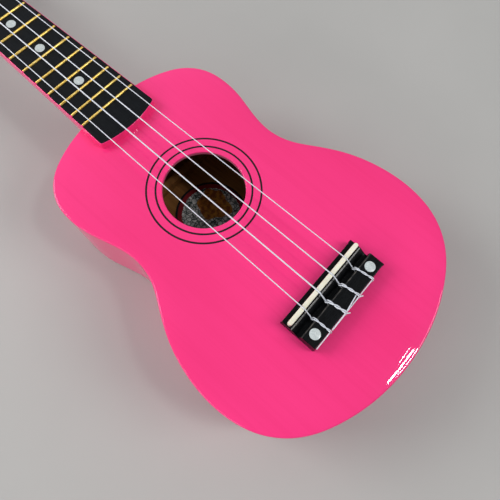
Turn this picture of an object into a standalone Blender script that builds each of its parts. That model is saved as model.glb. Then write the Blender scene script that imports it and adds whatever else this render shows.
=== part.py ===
"""Soprano ukulele, modelled as its separate pieces.

The instrument lies on its back. +Z points out of the soundboard, +Y runs up the neck to the
headstock and +X is the side of the A string. The origin is on the flat outer face of the
back, on the centre line, under the bridge end of the scale. Lengths are in metres.
"""

import math

import bmesh
import bpy
import numpy as np
from mathutils import Matrix, Vector

# ------------------------------------------------------------------ driving dimensions
SCALE_LENGTH = 0.346
BODY_DEPTH = 0.060
TOP_THICKNESS = 0.0026
BACK_THICKNESS = 0.0024
SIDE_THICKNESS = 0.0020
GAP = 0.0003
INLAY_GAP = 0.00006
MERGE_DISTANCE = 0.000005

# Half of the body's outline, (half width, y), from the tail's centre to the neck's.
BODY_STATIONS = [
    (0.0000, -0.0673), (0.0260, -0.0648), (0.0500, -0.0572), (0.0690, -0.0460),
    (0.0830, -0.0285), (0.0894, 0.0010), (0.0876, 0.0190), (0.0809, 0.0405),
    (0.0713, 0.0580), (0.0629, 0.0730), (0.0600, 0.0870), (0.0625, 0.1045),
    (0.0673, 0.1225), (0.0684, 0.1345), (0.0665, 0.1485), (0.0577, 0.1620),
    (0.0441, 0.1703), (0.0220, 0.1766), (0.0000, 0.1782),
]
OUTLINE_COUNT = 96
SPLINE_STEPS = 40
EDGE_RADIUS = 0.0014
EDGE_STEPS = 2
# Past this y the outline is the shoulders that the neck meets.
SHOULDER_Y = 0.165

HOLE_CENTRE_Y = 0.0896
HOLE_RADIUS = 0.0258
HOLE_EDGE_RADIUS = 0.0005

LINING_THICKNESS = 0.0038
LINING_HEIGHT = 0.0075
LINING_COUNT = 60
BLOCK_STEP = 0.0045
NECK_BLOCK_LENGTH = 0.024
NECK_BLOCK_HALF_WIDTH = 0.024
TAIL_BLOCK_LENGTH = 0.015
TAIL_BLOCK_HALF_WIDTH = 0.020
BRACE_WIDTH = 0.0050
BRACE_HEIGHT = 0.0080
BRACE_TIP_HEIGHT = 0.0030
BRACE_SCALLOP = 0.018
# Each brace: (name, y, half length, whether it stands on the back).
BRACES = [
    ('brace_upper', 0.1330, 0.0595, False),
    ('brace_lower', 0.0450, 0.0700, False),
    ('back_brace_upper', 0.1300, 0.0595, True),
    ('back_brace_lower', 0.0250, 0.0770, True),
]
BRIDGE_PLATE_SIZE = (0.090, 0.030, 0.0018)
BRIDGE_PLATE_Y = -0.0101
LABEL_CENTRE = (0.0062, 0.0919)
LABEL_RADIUS = 0.0267
LABEL_THICKNESS = 0.0004
LABEL_SIDES = 40

NUT_HALF_WIDTH = 0.0172
BOARD_HALF_WIDTH_AT_12 = 0.0222
BOARD_TOP = BODY_DEPTH + 0.0056
BOARD_END_Y = 0.1510
BOARD_END_RADIUS = 0.0700
BOARD_CORNER_RADIUS = 0.0018
BOARD_CORNER_Y = BOARD_END_Y + 0.0037
BOARD_ARC_POINTS = 9
NUT_LENGTH = 0.0036
NUT_TOP = BODY_DEPTH + 0.0078
NUT_BEVEL = 0.0005
NUT_SLOT_FLOOR = BOARD_TOP + 0.0014
NUT_SLOT_CUT = (0.010, 0.004)
FRET_COUNT = 12
FRET_WIDTH = 0.0015
FRET_HEIGHT = 0.0009
FRET_LIFT = 0.0001
FRET_CROWN_STEPS = 6
TANG_WIDTH = 0.0006
TANG_DEPTH = 0.0014
SLOT_WIDTH = 0.0011
SLOT_CUT_LENGTH = 0.060
SLOT_DEPTH = 0.0018
DOT_FRETS = (5, 7, 10)
BOARD_DOT_RADIUS = 0.00325
DOT_DEPTH = 0.0010
DOT_SIDES = 20

NECK_DEPTH_AT_NUT = 0.0120
NECK_DEPTH_AT_HEEL = 0.0145
HEEL_START_Y = 0.2060
HEEL_DROP = 0.0390
HEEL_CURVE = 2.3
HEEL_FOOT_HALF_WIDTH = 0.0150
NECK_SECTION_COUNT = 15
NECK_FULLNESS = 0.8
HEEL_SECTION_YS = [0.1700, 0.1800, 0.1820, 0.1845, 0.1875, 0.1910, 0.1950, 0.2000, 0.2060]
SHAFT_SECTION_YS = [0.2300, 0.2600, 0.3000, 0.3400]

HEADSTOCK_TILT = math.radians(12)
HEADSTOCK_THICKNESS = 0.0120
HEADSTOCK_START_Y = SCALE_LENGTH + NUT_LENGTH + 0.0006
# Half of the headstock's outline, (half width, distance from the nut along its face).
HEADSTOCK_STATIONS = [
    (0.0000, -0.0050), (0.0120, -0.0046), (0.0168, 0.0000), (0.0192, 0.0090),
    (0.0240, 0.0200), (0.0266, 0.0330), (0.0272, 0.0600), (0.0284, 0.0920),
    (0.0262, 0.1085), (0.0140, 0.1135), (0.0000, 0.1150),
]
HEADSTOCK_COUNT = 56
HEADSTOCK_START = -0.0005
# The headstock's lower layers start further from the nut, so that it grows out of the neck.
HEADSTOCK_LAYERS = 5
HEADSTOCK_SCOOP = 0.016
HEADSTOCK_SCOOP_CURVE = 1.6
# Past its bend the neck's shaft runs on inside the headstock, sloping down from its face.
NECK_BEND_Y = HEADSTOCK_START_Y - 0.0004
NECK_TONGUE = 0.0100
NECK_TONGUE_DROP = 0.1

BRIDGE_HALF_LENGTH = 0.0320
# The bridge's section across the strings, (y, height above the soundboard).
BRIDGE_SECTION = [
    (0.0015, 0.0003), (0.0015, 0.0050), (0.0010, 0.0055), (-0.0050, 0.0055),
    (-0.0056, 0.0050), (-0.0095, 0.0026), (-0.0116, 0.0026), (-0.0119, 0.0076),
    (-0.0124, 0.0081), (-0.0211, 0.0081), (-0.0217, 0.0075), (-0.0217, 0.0003),
]
BRIDGE_DOT_X = 0.0255
BRIDGE_DOT_Y = -0.0165
BRIDGE_DOT_RADIUS = 0.0032
SADDLE_Y = -0.0026
SADDLE_THICKNESS = 0.0028
SADDLE_HALF_LENGTH = 0.0312
SADDLE_TOP = BODY_DEPTH + 0.0099
SADDLE_FOOT = BODY_DEPTH + 0.0022
SADDLE_FOOT_THICKNESS = 0.0026
SADDLE_SLOT_CUT_HEIGHT = 0.020
SADDLE_END_STEPS = 6
TIE_HOLE_HEIGHT = 0.0034
TIE_HOLE_RADIUS = 0.0009
# The drill that makes a tie hole comes in from behind and stops in the channel.
TIE_DRILL_Y = -0.0245
TIE_DRILL_REACH = 0.016
TIE_HOLE_SIDES = 10

# Strings from the bass side to the treble side.
STRING_NAMES = ('g', 'c', 'e', 'a')
STRING_RADII = (0.00032, 0.00044, 0.00037, 0.00030)
STRING_X_AT_NUT = (-0.0139, -0.0046, 0.0046, 0.0139)
STRING_X_AT_SADDLE = (-0.0192, -0.0064, 0.0064, 0.0192)
STRING_SIDES_RESOLUTION = 1
# The string's run past the nut (length, drop), in from the nut's edges, and past the saddle.
NUT_EXIT = (0.0016, 0.0002)
NUT_EDGE = 0.0002
SADDLE_EXIT = 0.0005
# The tie at the bridge: (x from the string, y, height above the soundboard).
TIE_ROUTE = [
    (0.0000, -0.0102, 0.0048), (0.0000, -0.0114, 0.0038), (0.0000, -0.0130, 0.0034),
    (0.0000, -0.0165, 0.0034), (0.0000, -0.0200, 0.0034), (0.0001, -0.0222, 0.0039),
    (0.0003, -0.0228, 0.0059), (0.0005, -0.0222, 0.0082), (0.0006, -0.0200, 0.0089),
    (0.0007, -0.0165, 0.0088), (0.0007, -0.0130, 0.0089), (0.0009, -0.0112, 0.0082),
    (0.0011, -0.0101, 0.0064), (0.0001, -0.0094, 0.0040), (-0.0011, -0.0102, 0.0063),
    (-0.0009, -0.0114, 0.0083), (-0.0005, -0.0128, 0.0091), (0.0006, -0.0143, 0.0099),
    (0.0018, -0.0160, 0.0090), (0.0006, -0.0178, 0.0099), (-0.0005, -0.0196, 0.0091),
    (-0.0008, -0.0214, 0.0090), (-0.0018, -0.0227, 0.0078), (-0.0040, -0.0228, 0.0072),
    (-0.0078, -0.0227, 0.0072), (-0.0116, -0.0226, 0.0073),
]
TIE_SMOOTHING = 2

# Tuners, in the headstock's own frame: x across, y away from the nut, z out of its face.
TUNER_PLACES = ((-0.0160, 0.0360), (-0.0172, 0.0760), (0.0172, 0.0760), (0.0160, 0.0360))
GEAR_TEETH = 14
WORM_PITCH = 0.0024
GEAR_RADIUS = GEAR_TEETH * WORM_PITCH / (2 * math.pi)
GEAR_ADDENDUM = 0.00065
GEAR_DEDENDUM = 0.00090
GEAR_TOOTH_SHARE = 0.40
GEAR_THICKNESS = 0.0028
WORM_RADIUS = 0.0022
WORM_ADDENDUM = 0.00065
WORM_DEDENDUM = 0.00090
WORM_THREAD_SHARE = 0.34
FLANK_SLOPE = math.tan(math.radians(20))
WORM_HALF_LENGTH = 0.0024
WORM_SIDES = 12
WORM_STEP = WORM_PITCH / 8
WORM_Y = -(GEAR_RADIUS + WORM_RADIUS)
PLATE_THICKNESS = 0.0010
PLATE_TOP = -HEADSTOCK_THICKNESS - GAP
PLATE_BOTTOM = PLATE_TOP - PLATE_THICKNESS
PLATE_HALF_WIDTH = 0.0050
PLATE_ENDS_Y = (-0.0165, 0.0120)
PLATE_CORNER_RADIUS = 0.0025
GEAR_MIDDLE = PLATE_BOTTOM - WORM_RADIUS - WORM_ADDENDUM - GAP
GEAR_TOP = GEAR_MIDDLE + GEAR_THICKNESS / 2
TAB_INNER_X = 0.0036
TAB_THICKNESS = 0.0010
TAB_HALF_WIDTH = 0.0023
TAB_DROP = 0.0026
SHAFT_RADIUS = 0.0013
SHAFT_COLLAR_RADIUS = 0.0020
SHAFT_COLLAR_LENGTH = 0.0007
SHAFT_END_X = 0.0205
POST_RADIUS = 0.0028
POST_TOP = 0.0095
POST_RIM_BEVEL = 0.0005
# The post stops just inside the worm wheel's lower face.
POST_END_STEP = 0.0001
POST_SIDES = 16
POST_HOLE_HEIGHT = 0.0074
POST_HOLE_RADIUS = 0.0008
POST_HOLE_SIDES = 8
BEARING_GAP = 0.0003
FERRULE_RADIUS = 0.0042
FERRULE_DEPTH = 0.0050
FLANGE_RADIUS = 0.0052
FLANGE_HEIGHT = 0.0010
BUTTON_START_X = 0.0136
BUTTON_LENGTH = 0.0130
BUTTON_HALF_WIDTH = 0.0060
BUTTON_HALF_THICKNESS = 0.0031
BUTTON_SIDES = 16
BUTTON_HUB_RADIUS = 0.0028
BUTTON_BELLY = 0.0065
BUTTON_END_ANGLES = [math.radians(angle) for angle in (26, 64, 84)]
BUTTON_FULLNESS = 0.55
COIL_START_HEIGHT = 0.0036
COIL_TURNS = 2.25
COIL_STEPS_PER_TURN = 10
COIL_PITCH = 0.0011

# ------------------------------------------------------------------ materials
MATERIALS = {
    'pink_paint': ((0.95, 0.05, 0.22), 0.12, 0.0),
    'bare_wood': ((0.42, 0.25, 0.11), 0.70, 0.0),
    'label_paper': ((0.50, 0.48, 0.45), 0.80, 0.0),
    'black_board': ((0.015, 0.016, 0.020), 0.45, 0.0),
    'black_plastic': ((0.010, 0.010, 0.012), 0.25, 0.0),
    'fret_brass': ((0.78, 0.60, 0.22), 0.25, 1.0),
    'ivory_plastic': ((0.85, 0.80, 0.65), 0.35, 0.0),
    'cream_plastic': ((0.86, 0.85, 0.80), 0.25, 0.0),
    'dot_plastic': ((0.70, 0.72, 0.70), 0.35, 0.0),
    'nylon': ((0.80, 0.80, 0.85), 0.30, 0.0),
    'nickel': ((0.70, 0.70, 0.68), 0.25, 1.0),
}


def clear_scene():
    for item in list(bpy.data.objects):
        bpy.data.objects.remove(item, do_unlink=True)


def new_collection(name):
    collection = bpy.data.collections.new(name)
    bpy.context.scene.collection.children.link(collection)
    return collection


def make_materials():
    made = {}
    for name, (colour, roughness, metallic) in MATERIALS.items():
        item = bpy.data.materials.new(name)
        item.use_nodes = True
        shader = item.node_tree.nodes['Principled BSDF']
        shader.inputs['Base Color'].default_value = (*colour, 1.0)
        shader.inputs['Roughness'].default_value = roughness
        shader.inputs['Metallic'].default_value = metallic
        made[name] = item
    return made


clear_scene()
PARTS = new_collection('ukulele')
CUTTERS = new_collection('cutters')
MATERIAL = make_materials()


# ------------------------------------------------------------------ modelling helpers
def add_part(name, mesh, material, location=(0, 0, 0), rotation=(0, 0, 0), parent=None):
    mesh.materials.clear()
    mesh.materials.append(MATERIAL[material])
    item = bpy.data.objects.new(name, mesh)
    item.location = location
    item.rotation_euler = rotation
    item.parent = parent
    PARTS.objects.link(item)
    return item


def add_cutter(name, mesh, location=(0, 0, 0), rotation=(0, 0, 0), parent=None):
    item = bpy.data.objects.new(name, mesh)
    item.location = location
    item.rotation_euler = rotation
    item.parent = parent
    item.hide_render = True
    item.display_type = 'WIRE'
    CUTTERS.objects.link(item)
    return item


def boolean(target, other, operation):
    modifier = target.modifiers.new(other.name, 'BOOLEAN')
    modifier.operation = operation
    modifier.solver = 'EXACT'
    modifier.object = other


def finish_mesh(bm, name, smooth_angle=35):
    """Turn the bmesh into a mesh with outward faces, smooth except at sharp corners."""
    bmesh.ops.recalc_face_normals(bm, faces=bm.faces)
    mesh = bpy.data.meshes.new(name)
    bm.to_mesh(mesh)
    bm.free()
    mesh.shade_smooth()
    mesh.set_sharp_from_angle(angle=math.radians(smooth_angle))
    return mesh


def loft(name, rings, loop_back=False):
    """Skin over rings of equal length: capped at both ends, or joined last to first."""
    bm = bmesh.new()
    rows = [[bm.verts.new(point) for point in ring] for ring in rings]
    following = rows[1:] + rows[:1] if loop_back else rows[1:]
    for row, next_row in zip(rows, following):
        for i in range(len(row)):
            j = (i + 1) % len(row)
            bm.faces.new((row[i], row[j], next_row[j], next_row[i]))
    if not loop_back:
        bm.faces.new(rows[0])
        bm.faces.new(rows[-1])
    return finish_mesh(bm, name)


def box_mesh(name, size, centre=(0, 0, 0), bevel=0.0):
    bm = bmesh.new()
    bmesh.ops.create_cube(bm, size=1.0)
    bmesh.ops.scale(bm, vec=size, verts=bm.verts)
    if bevel:
        bmesh.ops.bevel(bm, geom=bm.edges, offset=bevel, segments=1, affect='EDGES')
    bmesh.ops.translate(bm, vec=centre, verts=bm.verts)
    return finish_mesh(bm, name, smooth_angle=20)


def cylinder_mesh(name, radius, bottom, top, sides):
    """A cylinder on the Z axis between two heights."""
    bm = bmesh.new()
    bmesh.ops.create_cone(bm, cap_ends=True, segments=sides, radius1=radius,
                          radius2=radius, depth=top - bottom)
    bmesh.ops.translate(bm, vec=(0, 0, (top + bottom) / 2), verts=bm.verts)
    return finish_mesh(bm, name)


def curve_to_mesh(curve_object):
    """The evaluated curve as a closed mesh; the curve object is removed."""
    graph = bpy.context.evaluated_depsgraph_get()
    mesh = bpy.data.meshes.new_from_object(curve_object.evaluated_get(graph))
    bm = bmesh.new()
    bm.from_mesh(mesh)
    bmesh.ops.remove_doubles(bm, verts=bm.verts, dist=MERGE_DISTANCE)
    bpy.data.objects.remove(curve_object, do_unlink=True)
    return finish_mesh(bm, mesh.name)


def flat_mesh(name, outlines, thickness):
    """A flat plate from closed outlines in XY, centred on z = 0; inner ones are holes."""
    curve = bpy.data.curves.new(name, 'CURVE')
    curve.dimensions = '2D'
    curve.fill_mode = 'BOTH'
    curve.extrude = thickness / 2
    for outline in outlines:
        spline = curve.splines.new('POLY')
        spline.points.add(len(outline) - 1)
        for point, place in zip(spline.points, outline):
            point.co = (place[0], place[1], 0, 1)
        spline.use_cyclic_u = True
    item = bpy.data.objects.new(name, curve)
    PARTS.objects.link(item)
    return curve_to_mesh(item)


def tube_mesh(name, points, radius):
    curve = bpy.data.curves.new(name, 'CURVE')
    curve.dimensions = '3D'
    curve.bevel_depth = radius
    curve.bevel_resolution = STRING_SIDES_RESOLUTION
    curve.use_fill_caps = True
    spline = curve.splines.new('POLY')
    spline.points.add(len(points) - 1)
    for point, place in zip(spline.points, points):
        point.co = (*place, 1)
    item = bpy.data.objects.new(name, curve)
    PARTS.objects.link(item)
    return curve_to_mesh(item)


def closed_spline(knots, count):
    """Evenly spaced points on the smooth closed curve through the knots."""
    knots = np.asarray(knots)
    ahead = np.roll(knots, -1, axis=0)
    lengths = np.linalg.norm(ahead - knots, axis=1)
    before = np.roll(lengths, 1)
    system = np.diag(2 * (before + lengths))
    size = len(knots)
    for i in range(size):
        system[i, (i + 1) % size] += lengths[i]
        system[i, (i - 1) % size] += before[i]
    slopes = (ahead - knots) / lengths[:, None]
    bends = np.linalg.solve(system, 6 * (slopes - np.roll(slopes, 1, axis=0)))
    next_bends = np.roll(bends, -1, axis=0)
    dense = []
    for t in np.linspace(0, 1, SPLINE_STEPS, endpoint=False):
        s = 1 - t
        curved = (s ** 3 - s) * bends + (t ** 3 - t) * next_bends
        dense.append(s * knots + t * ahead + curved * (lengths ** 2)[:, None] / 6)
    dense = np.stack(dense, axis=1).reshape(-1, 2)
    dense = np.vstack([dense, dense[:1]])
    travelled = np.r_[0, np.cumsum(np.linalg.norm(np.diff(dense, axis=0), axis=1))]
    wanted = np.linspace(0, travelled[-1], count, endpoint=False)
    return np.stack([np.interp(wanted, travelled, dense[:, k]) for k in (0, 1)], axis=1)


def smooth_route(points, steps):
    """Points of the Catmull-Rom curve through a route in space."""
    points = [Vector(p) for p in points]
    padded = [2 * points[0] - points[1]] + points + [2 * points[-1] - points[-2]]
    route = []
    for a, b, c, d in zip(padded, padded[1:], padded[2:], padded[3:]):
        for k in range(steps):
            t = k / steps
            bend = (2 * a - 5 * b + 4 * c - d) * t ** 2 + (3 * b - a - 3 * c + d) * t ** 3
            route.append(b + ((c - a) * t + bend) / 2)
    return route + [points[-1]]


def mirrored(stations):
    """The whole closed outline from its half, which starts and ends on the centre line."""
    other_side = [(-x, y) for x, y in reversed(stations[1:-1])]
    return list(stations) + other_side


def inset(loop, distance):
    """The closed loop moved inwards by a distance; the loop runs anticlockwise."""
    tangent = np.roll(loop, -1, axis=0) - np.roll(loop, 1, axis=0)
    tangent /= np.linalg.norm(tangent, axis=1)[:, None]
    inwards = np.stack([-tangent[:, 1], tangent[:, 0]], axis=1)
    return loop + inwards * distance


def at_height(loop, z):
    return [(x, y, z) for x, y in loop]


def circle(radius, count):
    angles = np.linspace(0, 2 * math.pi, count, endpoint=False)
    return radius * np.stack([np.cos(angles), np.sin(angles)], axis=1)


def quarter_steps(radius, steps):
    """(inset, drop) pairs around a rounded edge, from its side to its top."""
    pairs = []
    for k in range(steps + 1):
        angle = k / steps * math.pi / 2
        pairs.append((radius * (1 - math.cos(angle)), radius * (1 - math.sin(angle))))
    return pairs


# ------------------------------------------------------------------ body
BODY_LOOP = closed_spline(mirrored(BODY_STATIONS), OUTLINE_COUNT)
SIDES_BOTTOM = BACK_THICKNESS + GAP
SIDES_TOP = BODY_DEPTH - TOP_THICKNESS - GAP


def outline_end_y(x):
    """The y where the body's outline reaches the given x at the neck's end."""
    end = BODY_LOOP[(BODY_LOOP[:, 1] > SHOULDER_Y) & (BODY_LOOP[:, 0] >= -GAP)]
    order = np.argsort(end[:, 0])
    return float(np.interp(abs(x), end[order, 0], end[order, 1]))


def make_soundboard():
    underside = BODY_DEPTH - TOP_THICKNESS
    angles = np.arctan2(BODY_LOOP[:, 1] - HOLE_CENTRE_Y, BODY_LOOP[:, 0])
    rim = np.stack([np.cos(angles), np.sin(angles)], axis=1)
    centre = np.array([0, HOLE_CENTRE_Y])
    rings = [at_height(BODY_LOOP, underside)]
    for step_in, drop in quarter_steps(EDGE_RADIUS, EDGE_STEPS):
        rings.append(at_height(inset(BODY_LOOP, step_in), BODY_DEPTH - drop))
    rings.append(at_height(centre + rim * (HOLE_RADIUS + HOLE_EDGE_RADIUS), BODY_DEPTH))
    rings.append(at_height(centre + rim * HOLE_RADIUS, BODY_DEPTH - HOLE_EDGE_RADIUS))
    rings.append(at_height(centre + rim * HOLE_RADIUS, underside))
    add_part('soundboard', loft('soundboard', rings, loop_back=True), 'pink_paint')


def make_back():
    rings = []
    for step_in, drop in reversed(quarter_steps(EDGE_RADIUS, EDGE_STEPS)):
        rings.append(at_height(inset(BODY_LOOP, step_in), drop))
    rings.append(at_height(BODY_LOOP, BACK_THICKNESS))
    add_part('back_plate', loft('back_plate', rings), 'pink_paint')


def ribbon(name, points, bottom, top, closed):
    """An upright open sheet that follows the points, from one height to another."""
    bm = bmesh.new()
    low = [bm.verts.new((x, y, bottom)) for x, y in points]
    high = [bm.verts.new((x, y, top)) for x, y in points]
    count = len(points) if closed else len(points) - 1
    for i in range(count):
        j = (i + 1) % len(points)
        bm.faces.new((low[i], low[j], high[j], high[i]))
    mesh = bpy.data.meshes.new(name)
    bm.to_mesh(mesh)
    bm.free()
    mesh.shade_smooth()
    return mesh


def add_wall(name, points, bottom, top, thickness, closed, material):
    wall = add_part(name, ribbon(name, points, bottom, top, closed), material)
    solid = wall.modifiers.new('thickness', 'SOLIDIFY')
    solid.thickness = thickness
    solid.offset = -1
    solid.use_even_offset = True
    return wall


def make_sides():
    half = OUTLINE_COUNT // 2
    treble = [tuple(p) for p in BODY_LOOP[:half + 1]]
    treble[0] = (GAP / 2, treble[0][1])
    treble[-1] = (GAP / 2, treble[-1][1])
    bass = [(-x, y) for x, y in reversed(treble)]
    for name, points in (('side_treble', treble), ('side_bass', bass)):
        add_wall(name, points, SIDES_BOTTOM, SIDES_TOP, SIDE_THICKNESS, False, 'pink_paint')


def make_linings():
    loop = closed_spline(mirrored(BODY_STATIONS), LINING_COUNT)
    loop = [tuple(p) for p in inset(loop, SIDE_THICKNESS + 2 * GAP)]
    places = (('lining_back', SIDES_BOTTOM), ('lining_top', SIDES_TOP - LINING_HEIGHT))
    for name, bottom in places:
        add_wall(name, loop, bottom, bottom + LINING_HEIGHT, LINING_THICKNESS, True,
                 'bare_wood')


def stepped_block(name, outer_y, inwards, length, half_width):
    """An end block: full height inside the linings, and reaching the sides between them."""
    waist_bottom = SIDES_BOTTOM + LINING_HEIGHT + GAP
    waist_top = SIDES_TOP - LINING_HEIGHT - GAP
    step_y = outer_y + inwards * BLOCK_STEP
    inner_y = outer_y + inwards * length
    section = [
        (inner_y, SIDES_BOTTOM), (step_y, SIDES_BOTTOM), (step_y, waist_bottom),
        (outer_y, waist_bottom), (outer_y, waist_top), (step_y, waist_top),
        (step_y, SIDES_TOP), (inner_y, SIDES_TOP),
    ]
    add_part(name, flat_mesh(name, [section], 2 * half_width), 'bare_wood',
             rotation=(math.pi / 2, 0, math.pi / 2))


def make_blocks():
    wall = SIDE_THICKNESS + GAP
    neck_outer = outline_end_y(NECK_BLOCK_HALF_WIDTH) - wall
    stepped_block('neck_block', neck_outer, -1, NECK_BLOCK_LENGTH, NECK_BLOCK_HALF_WIDTH)
    tail = BODY_LOOP[BODY_LOOP[:, 1] < 0]
    order = np.argsort(tail[:, 0])
    tail_outer = np.interp(TAIL_BLOCK_HALF_WIDTH, tail[order, 0], tail[order, 1]) + wall
    stepped_block('tail_block', tail_outer, 1, TAIL_BLOCK_LENGTH, TAIL_BLOCK_HALF_WIDTH)


def add_brace(name, y, half_length, on_back):
    """A bar across the body, scalloped down to thin tips at both ends."""
    foot = SIDES_BOTTOM if on_back else SIDES_TOP
    rise = 1 if on_back else -1
    shoulder = half_length - BRACE_SCALLOP
    section = [
        (-half_length, foot), (half_length, foot),
        (half_length, foot + rise * BRACE_TIP_HEIGHT), (shoulder, foot + rise * BRACE_HEIGHT),
        (-shoulder, foot + rise * BRACE_HEIGHT), (-half_length, foot + rise * BRACE_TIP_HEIGHT),
    ]
    add_part(name, flat_mesh(name, [section], BRACE_WIDTH), 'bare_wood',
             location=(0, y, 0), rotation=(math.pi / 2, 0, 0))


def make_bracing():
    for brace in BRACES:
        add_brace(*brace)
    plate = box_mesh('bridge_plate', BRIDGE_PLATE_SIZE)
    add_part('bridge_plate', plate, 'bare_wood',
             location=(0, BRIDGE_PLATE_Y, SIDES_TOP - BRIDGE_PLATE_SIZE[2] / 2))
    label = cylinder_mesh('label', LABEL_RADIUS, 0, LABEL_THICKNESS, LABEL_SIDES)
    add_part('label', label, 'label_paper', location=(*LABEL_CENTRE, SIDES_BOTTOM))


# ------------------------------------------------------------------ neck
FRET_12_Y = SCALE_LENGTH / 2
BOARD_TAPER = (BOARD_HALF_WIDTH_AT_12 - NUT_HALF_WIDTH) / (SCALE_LENGTH - FRET_12_Y)


def fret_y(number):
    return SCALE_LENGTH * 2 ** (-number / 12)


def board_half_width(y):
    return NUT_HALF_WIDTH + BOARD_TAPER * (SCALE_LENGTH - y)


def neck_depth(y):
    """The neck's depth below its glued face: a slow taper, and the heel near the body."""
    share = min(1.0, (SCALE_LENGTH - y) / (SCALE_LENGTH - HEEL_START_Y))
    depth = NECK_DEPTH_AT_NUT + share * (NECK_DEPTH_AT_HEEL - NECK_DEPTH_AT_NUT)
    if y < HEEL_START_Y:
        heel = (HEEL_START_Y - y) / (HEEL_START_Y - outline_end_y(0))
        depth += HEEL_DROP * min(1.0, heel) ** HEEL_CURVE
    return depth


def neck_section(y):
    """Half an oval hanging from the glued face; the deep heel narrows towards its foot."""
    depth = neck_depth(y)
    past_bend = max(0.0, y - NECK_BEND_Y)
    top = BODY_DEPTH - past_bend * (math.tan(HEADSTOCK_TILT) + NECK_TONGUE_DROP)
    half_width = board_half_width(y)
    deepest = NECK_DEPTH_AT_HEEL + HEEL_DROP
    narrow = (depth - NECK_DEPTH_AT_HEEL) / (deepest - NECK_DEPTH_AT_HEEL)
    points = []
    for k in range(NECK_SECTION_COUNT):
        angle = math.pi * k / (NECK_SECTION_COUNT - 1)
        fullness = 1 - max(0.0, narrow) * math.sin(angle) * (
            1 - HEEL_FOOT_HALF_WIDTH / half_width)
        x = half_width * math.cos(angle) * fullness
        points.append((x, y, top - depth * math.sin(angle) ** NECK_FULLNESS))
    return points


def make_headstock_frame():
    frame = bpy.data.objects.new('headstock_frame', None)
    frame.location = (0, HEADSTOCK_START_Y, BODY_DEPTH)
    frame.rotation_euler = (-HEADSTOCK_TILT, 0, 0)
    PARTS.objects.link(frame)
    return frame


def make_headstock_mesh():
    """The headstock in layers from its face down, each cut off square where it starts."""
    loop = closed_spline(mirrored(HEADSTOCK_STATIONS), HEADSTOCK_COUNT)
    rings = []
    for share in np.linspace(0, 1, HEADSTOCK_LAYERS):
        start = HEADSTOCK_START + HEADSTOCK_SCOOP * share ** HEADSTOCK_SCOOP_CURVE
        rings.append([(x, max(y, start), -share * HEADSTOCK_THICKNESS) for x, y in loop])
    return loft('headstock', rings)


def make_neck(headstock_frame):
    head_ys = [NECK_BEND_Y, NECK_BEND_Y + NECK_TONGUE]
    sections = [neck_section(y) for y in HEEL_SECTION_YS + SHAFT_SECTION_YS + head_ys]
    neck = add_part('neck', loft('neck', sections), 'pink_paint')
    body_shape = flat_mesh('body_shape', [inset(BODY_LOOP, -GAP)], 3 * BODY_DEPTH)
    boolean(neck, add_cutter('body_shape', body_shape), 'DIFFERENCE')

    head = add_cutter('headstock', make_headstock_mesh(), parent=headstock_frame)
    boolean(neck, head, 'UNION')
    for number, (x, y) in enumerate(TUNER_PLACES, 1):
        drill = cylinder_mesh('drill', FERRULE_RADIUS + GAP, -2 * HEADSTOCK_THICKNESS,
                              HEADSTOCK_THICKNESS, POST_SIDES)
        hole = add_cutter(f'tuner_hole_{number}', drill, (x, y, 0), parent=headstock_frame)
        boolean(neck, hole, 'DIFFERENCE')


def rounded_corner(before, corner, after, radius, steps=3):
    """Points of a curve that replaces a corner, from one side of it to the other."""
    before, corner, after = Vector(before), Vector(corner), Vector(after)
    start = corner + (before - corner).normalized() * radius
    end = corner + (after - corner).normalized() * radius
    points = []
    for k in range(steps + 1):
        t = k / steps
        points.append(tuple(start * (1 - t) ** 2 + corner * 2 * t * (1 - t) + end * t ** 2))
    return points


def board_outline():
    """The fingerboard from above: tapered, with a bowed end and rounded corners."""
    nut_y = SCALE_LENGTH - GAP

    def end_y(x):
        return BOARD_END_Y + BOARD_END_RADIUS - math.sqrt(BOARD_END_RADIUS ** 2 - x ** 2)

    corner_x = board_half_width(BOARD_CORNER_Y)
    corner = (corner_x, end_y(corner_x))
    inner_x = corner_x - BOARD_CORNER_RADIUS
    bend = rounded_corner((NUT_HALF_WIDTH, nut_y), corner, (inner_x, end_y(inner_x)),
                          BOARD_CORNER_RADIUS)
    arc_xs = np.linspace(inner_x, -inner_x, BOARD_ARC_POINTS + 2)[1:-1]
    right = [(NUT_HALF_WIDTH, nut_y)] + bend
    left = [(-x, y) for x, y in reversed(right)]
    return right + [(x, end_y(x)) for x in arc_xs] + left


def make_fretboard():
    bottom = BODY_DEPTH + GAP
    mesh = flat_mesh('fretboard', [board_outline()], BOARD_TOP - bottom)
    board = add_part('fretboard', mesh, 'black_board', (0, 0, (BOARD_TOP + bottom) / 2))
    for number in range(1, FRET_COUNT + 1):
        slot = box_mesh('slot', (SLOT_CUT_LENGTH, SLOT_WIDTH, 2 * SLOT_DEPTH))
        cutter = add_cutter(f'fret_slot_{number:02d}', slot, (0, fret_y(number), BOARD_TOP))
        boolean(board, cutter, 'DIFFERENCE')
    for fret in DOT_FRETS:
        y = (fret_y(fret) + fret_y(fret - 1)) / 2
        pocket = cylinder_mesh('pocket', BOARD_DOT_RADIUS + INLAY_GAP,
                               -DOT_DEPTH - INLAY_GAP, DOT_DEPTH, DOT_SIDES)
        cutter = add_cutter(f'dot_pocket_{fret}', pocket, (0, y, BOARD_TOP))
        boolean(board, cutter, 'DIFFERENCE')
        dot = cylinder_mesh('board_dot', BOARD_DOT_RADIUS, -DOT_DEPTH, 0, DOT_SIDES)
        add_part(f'position_dot_{fret:02d}', dot, 'dot_plastic', (0, y, BOARD_TOP))


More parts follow.
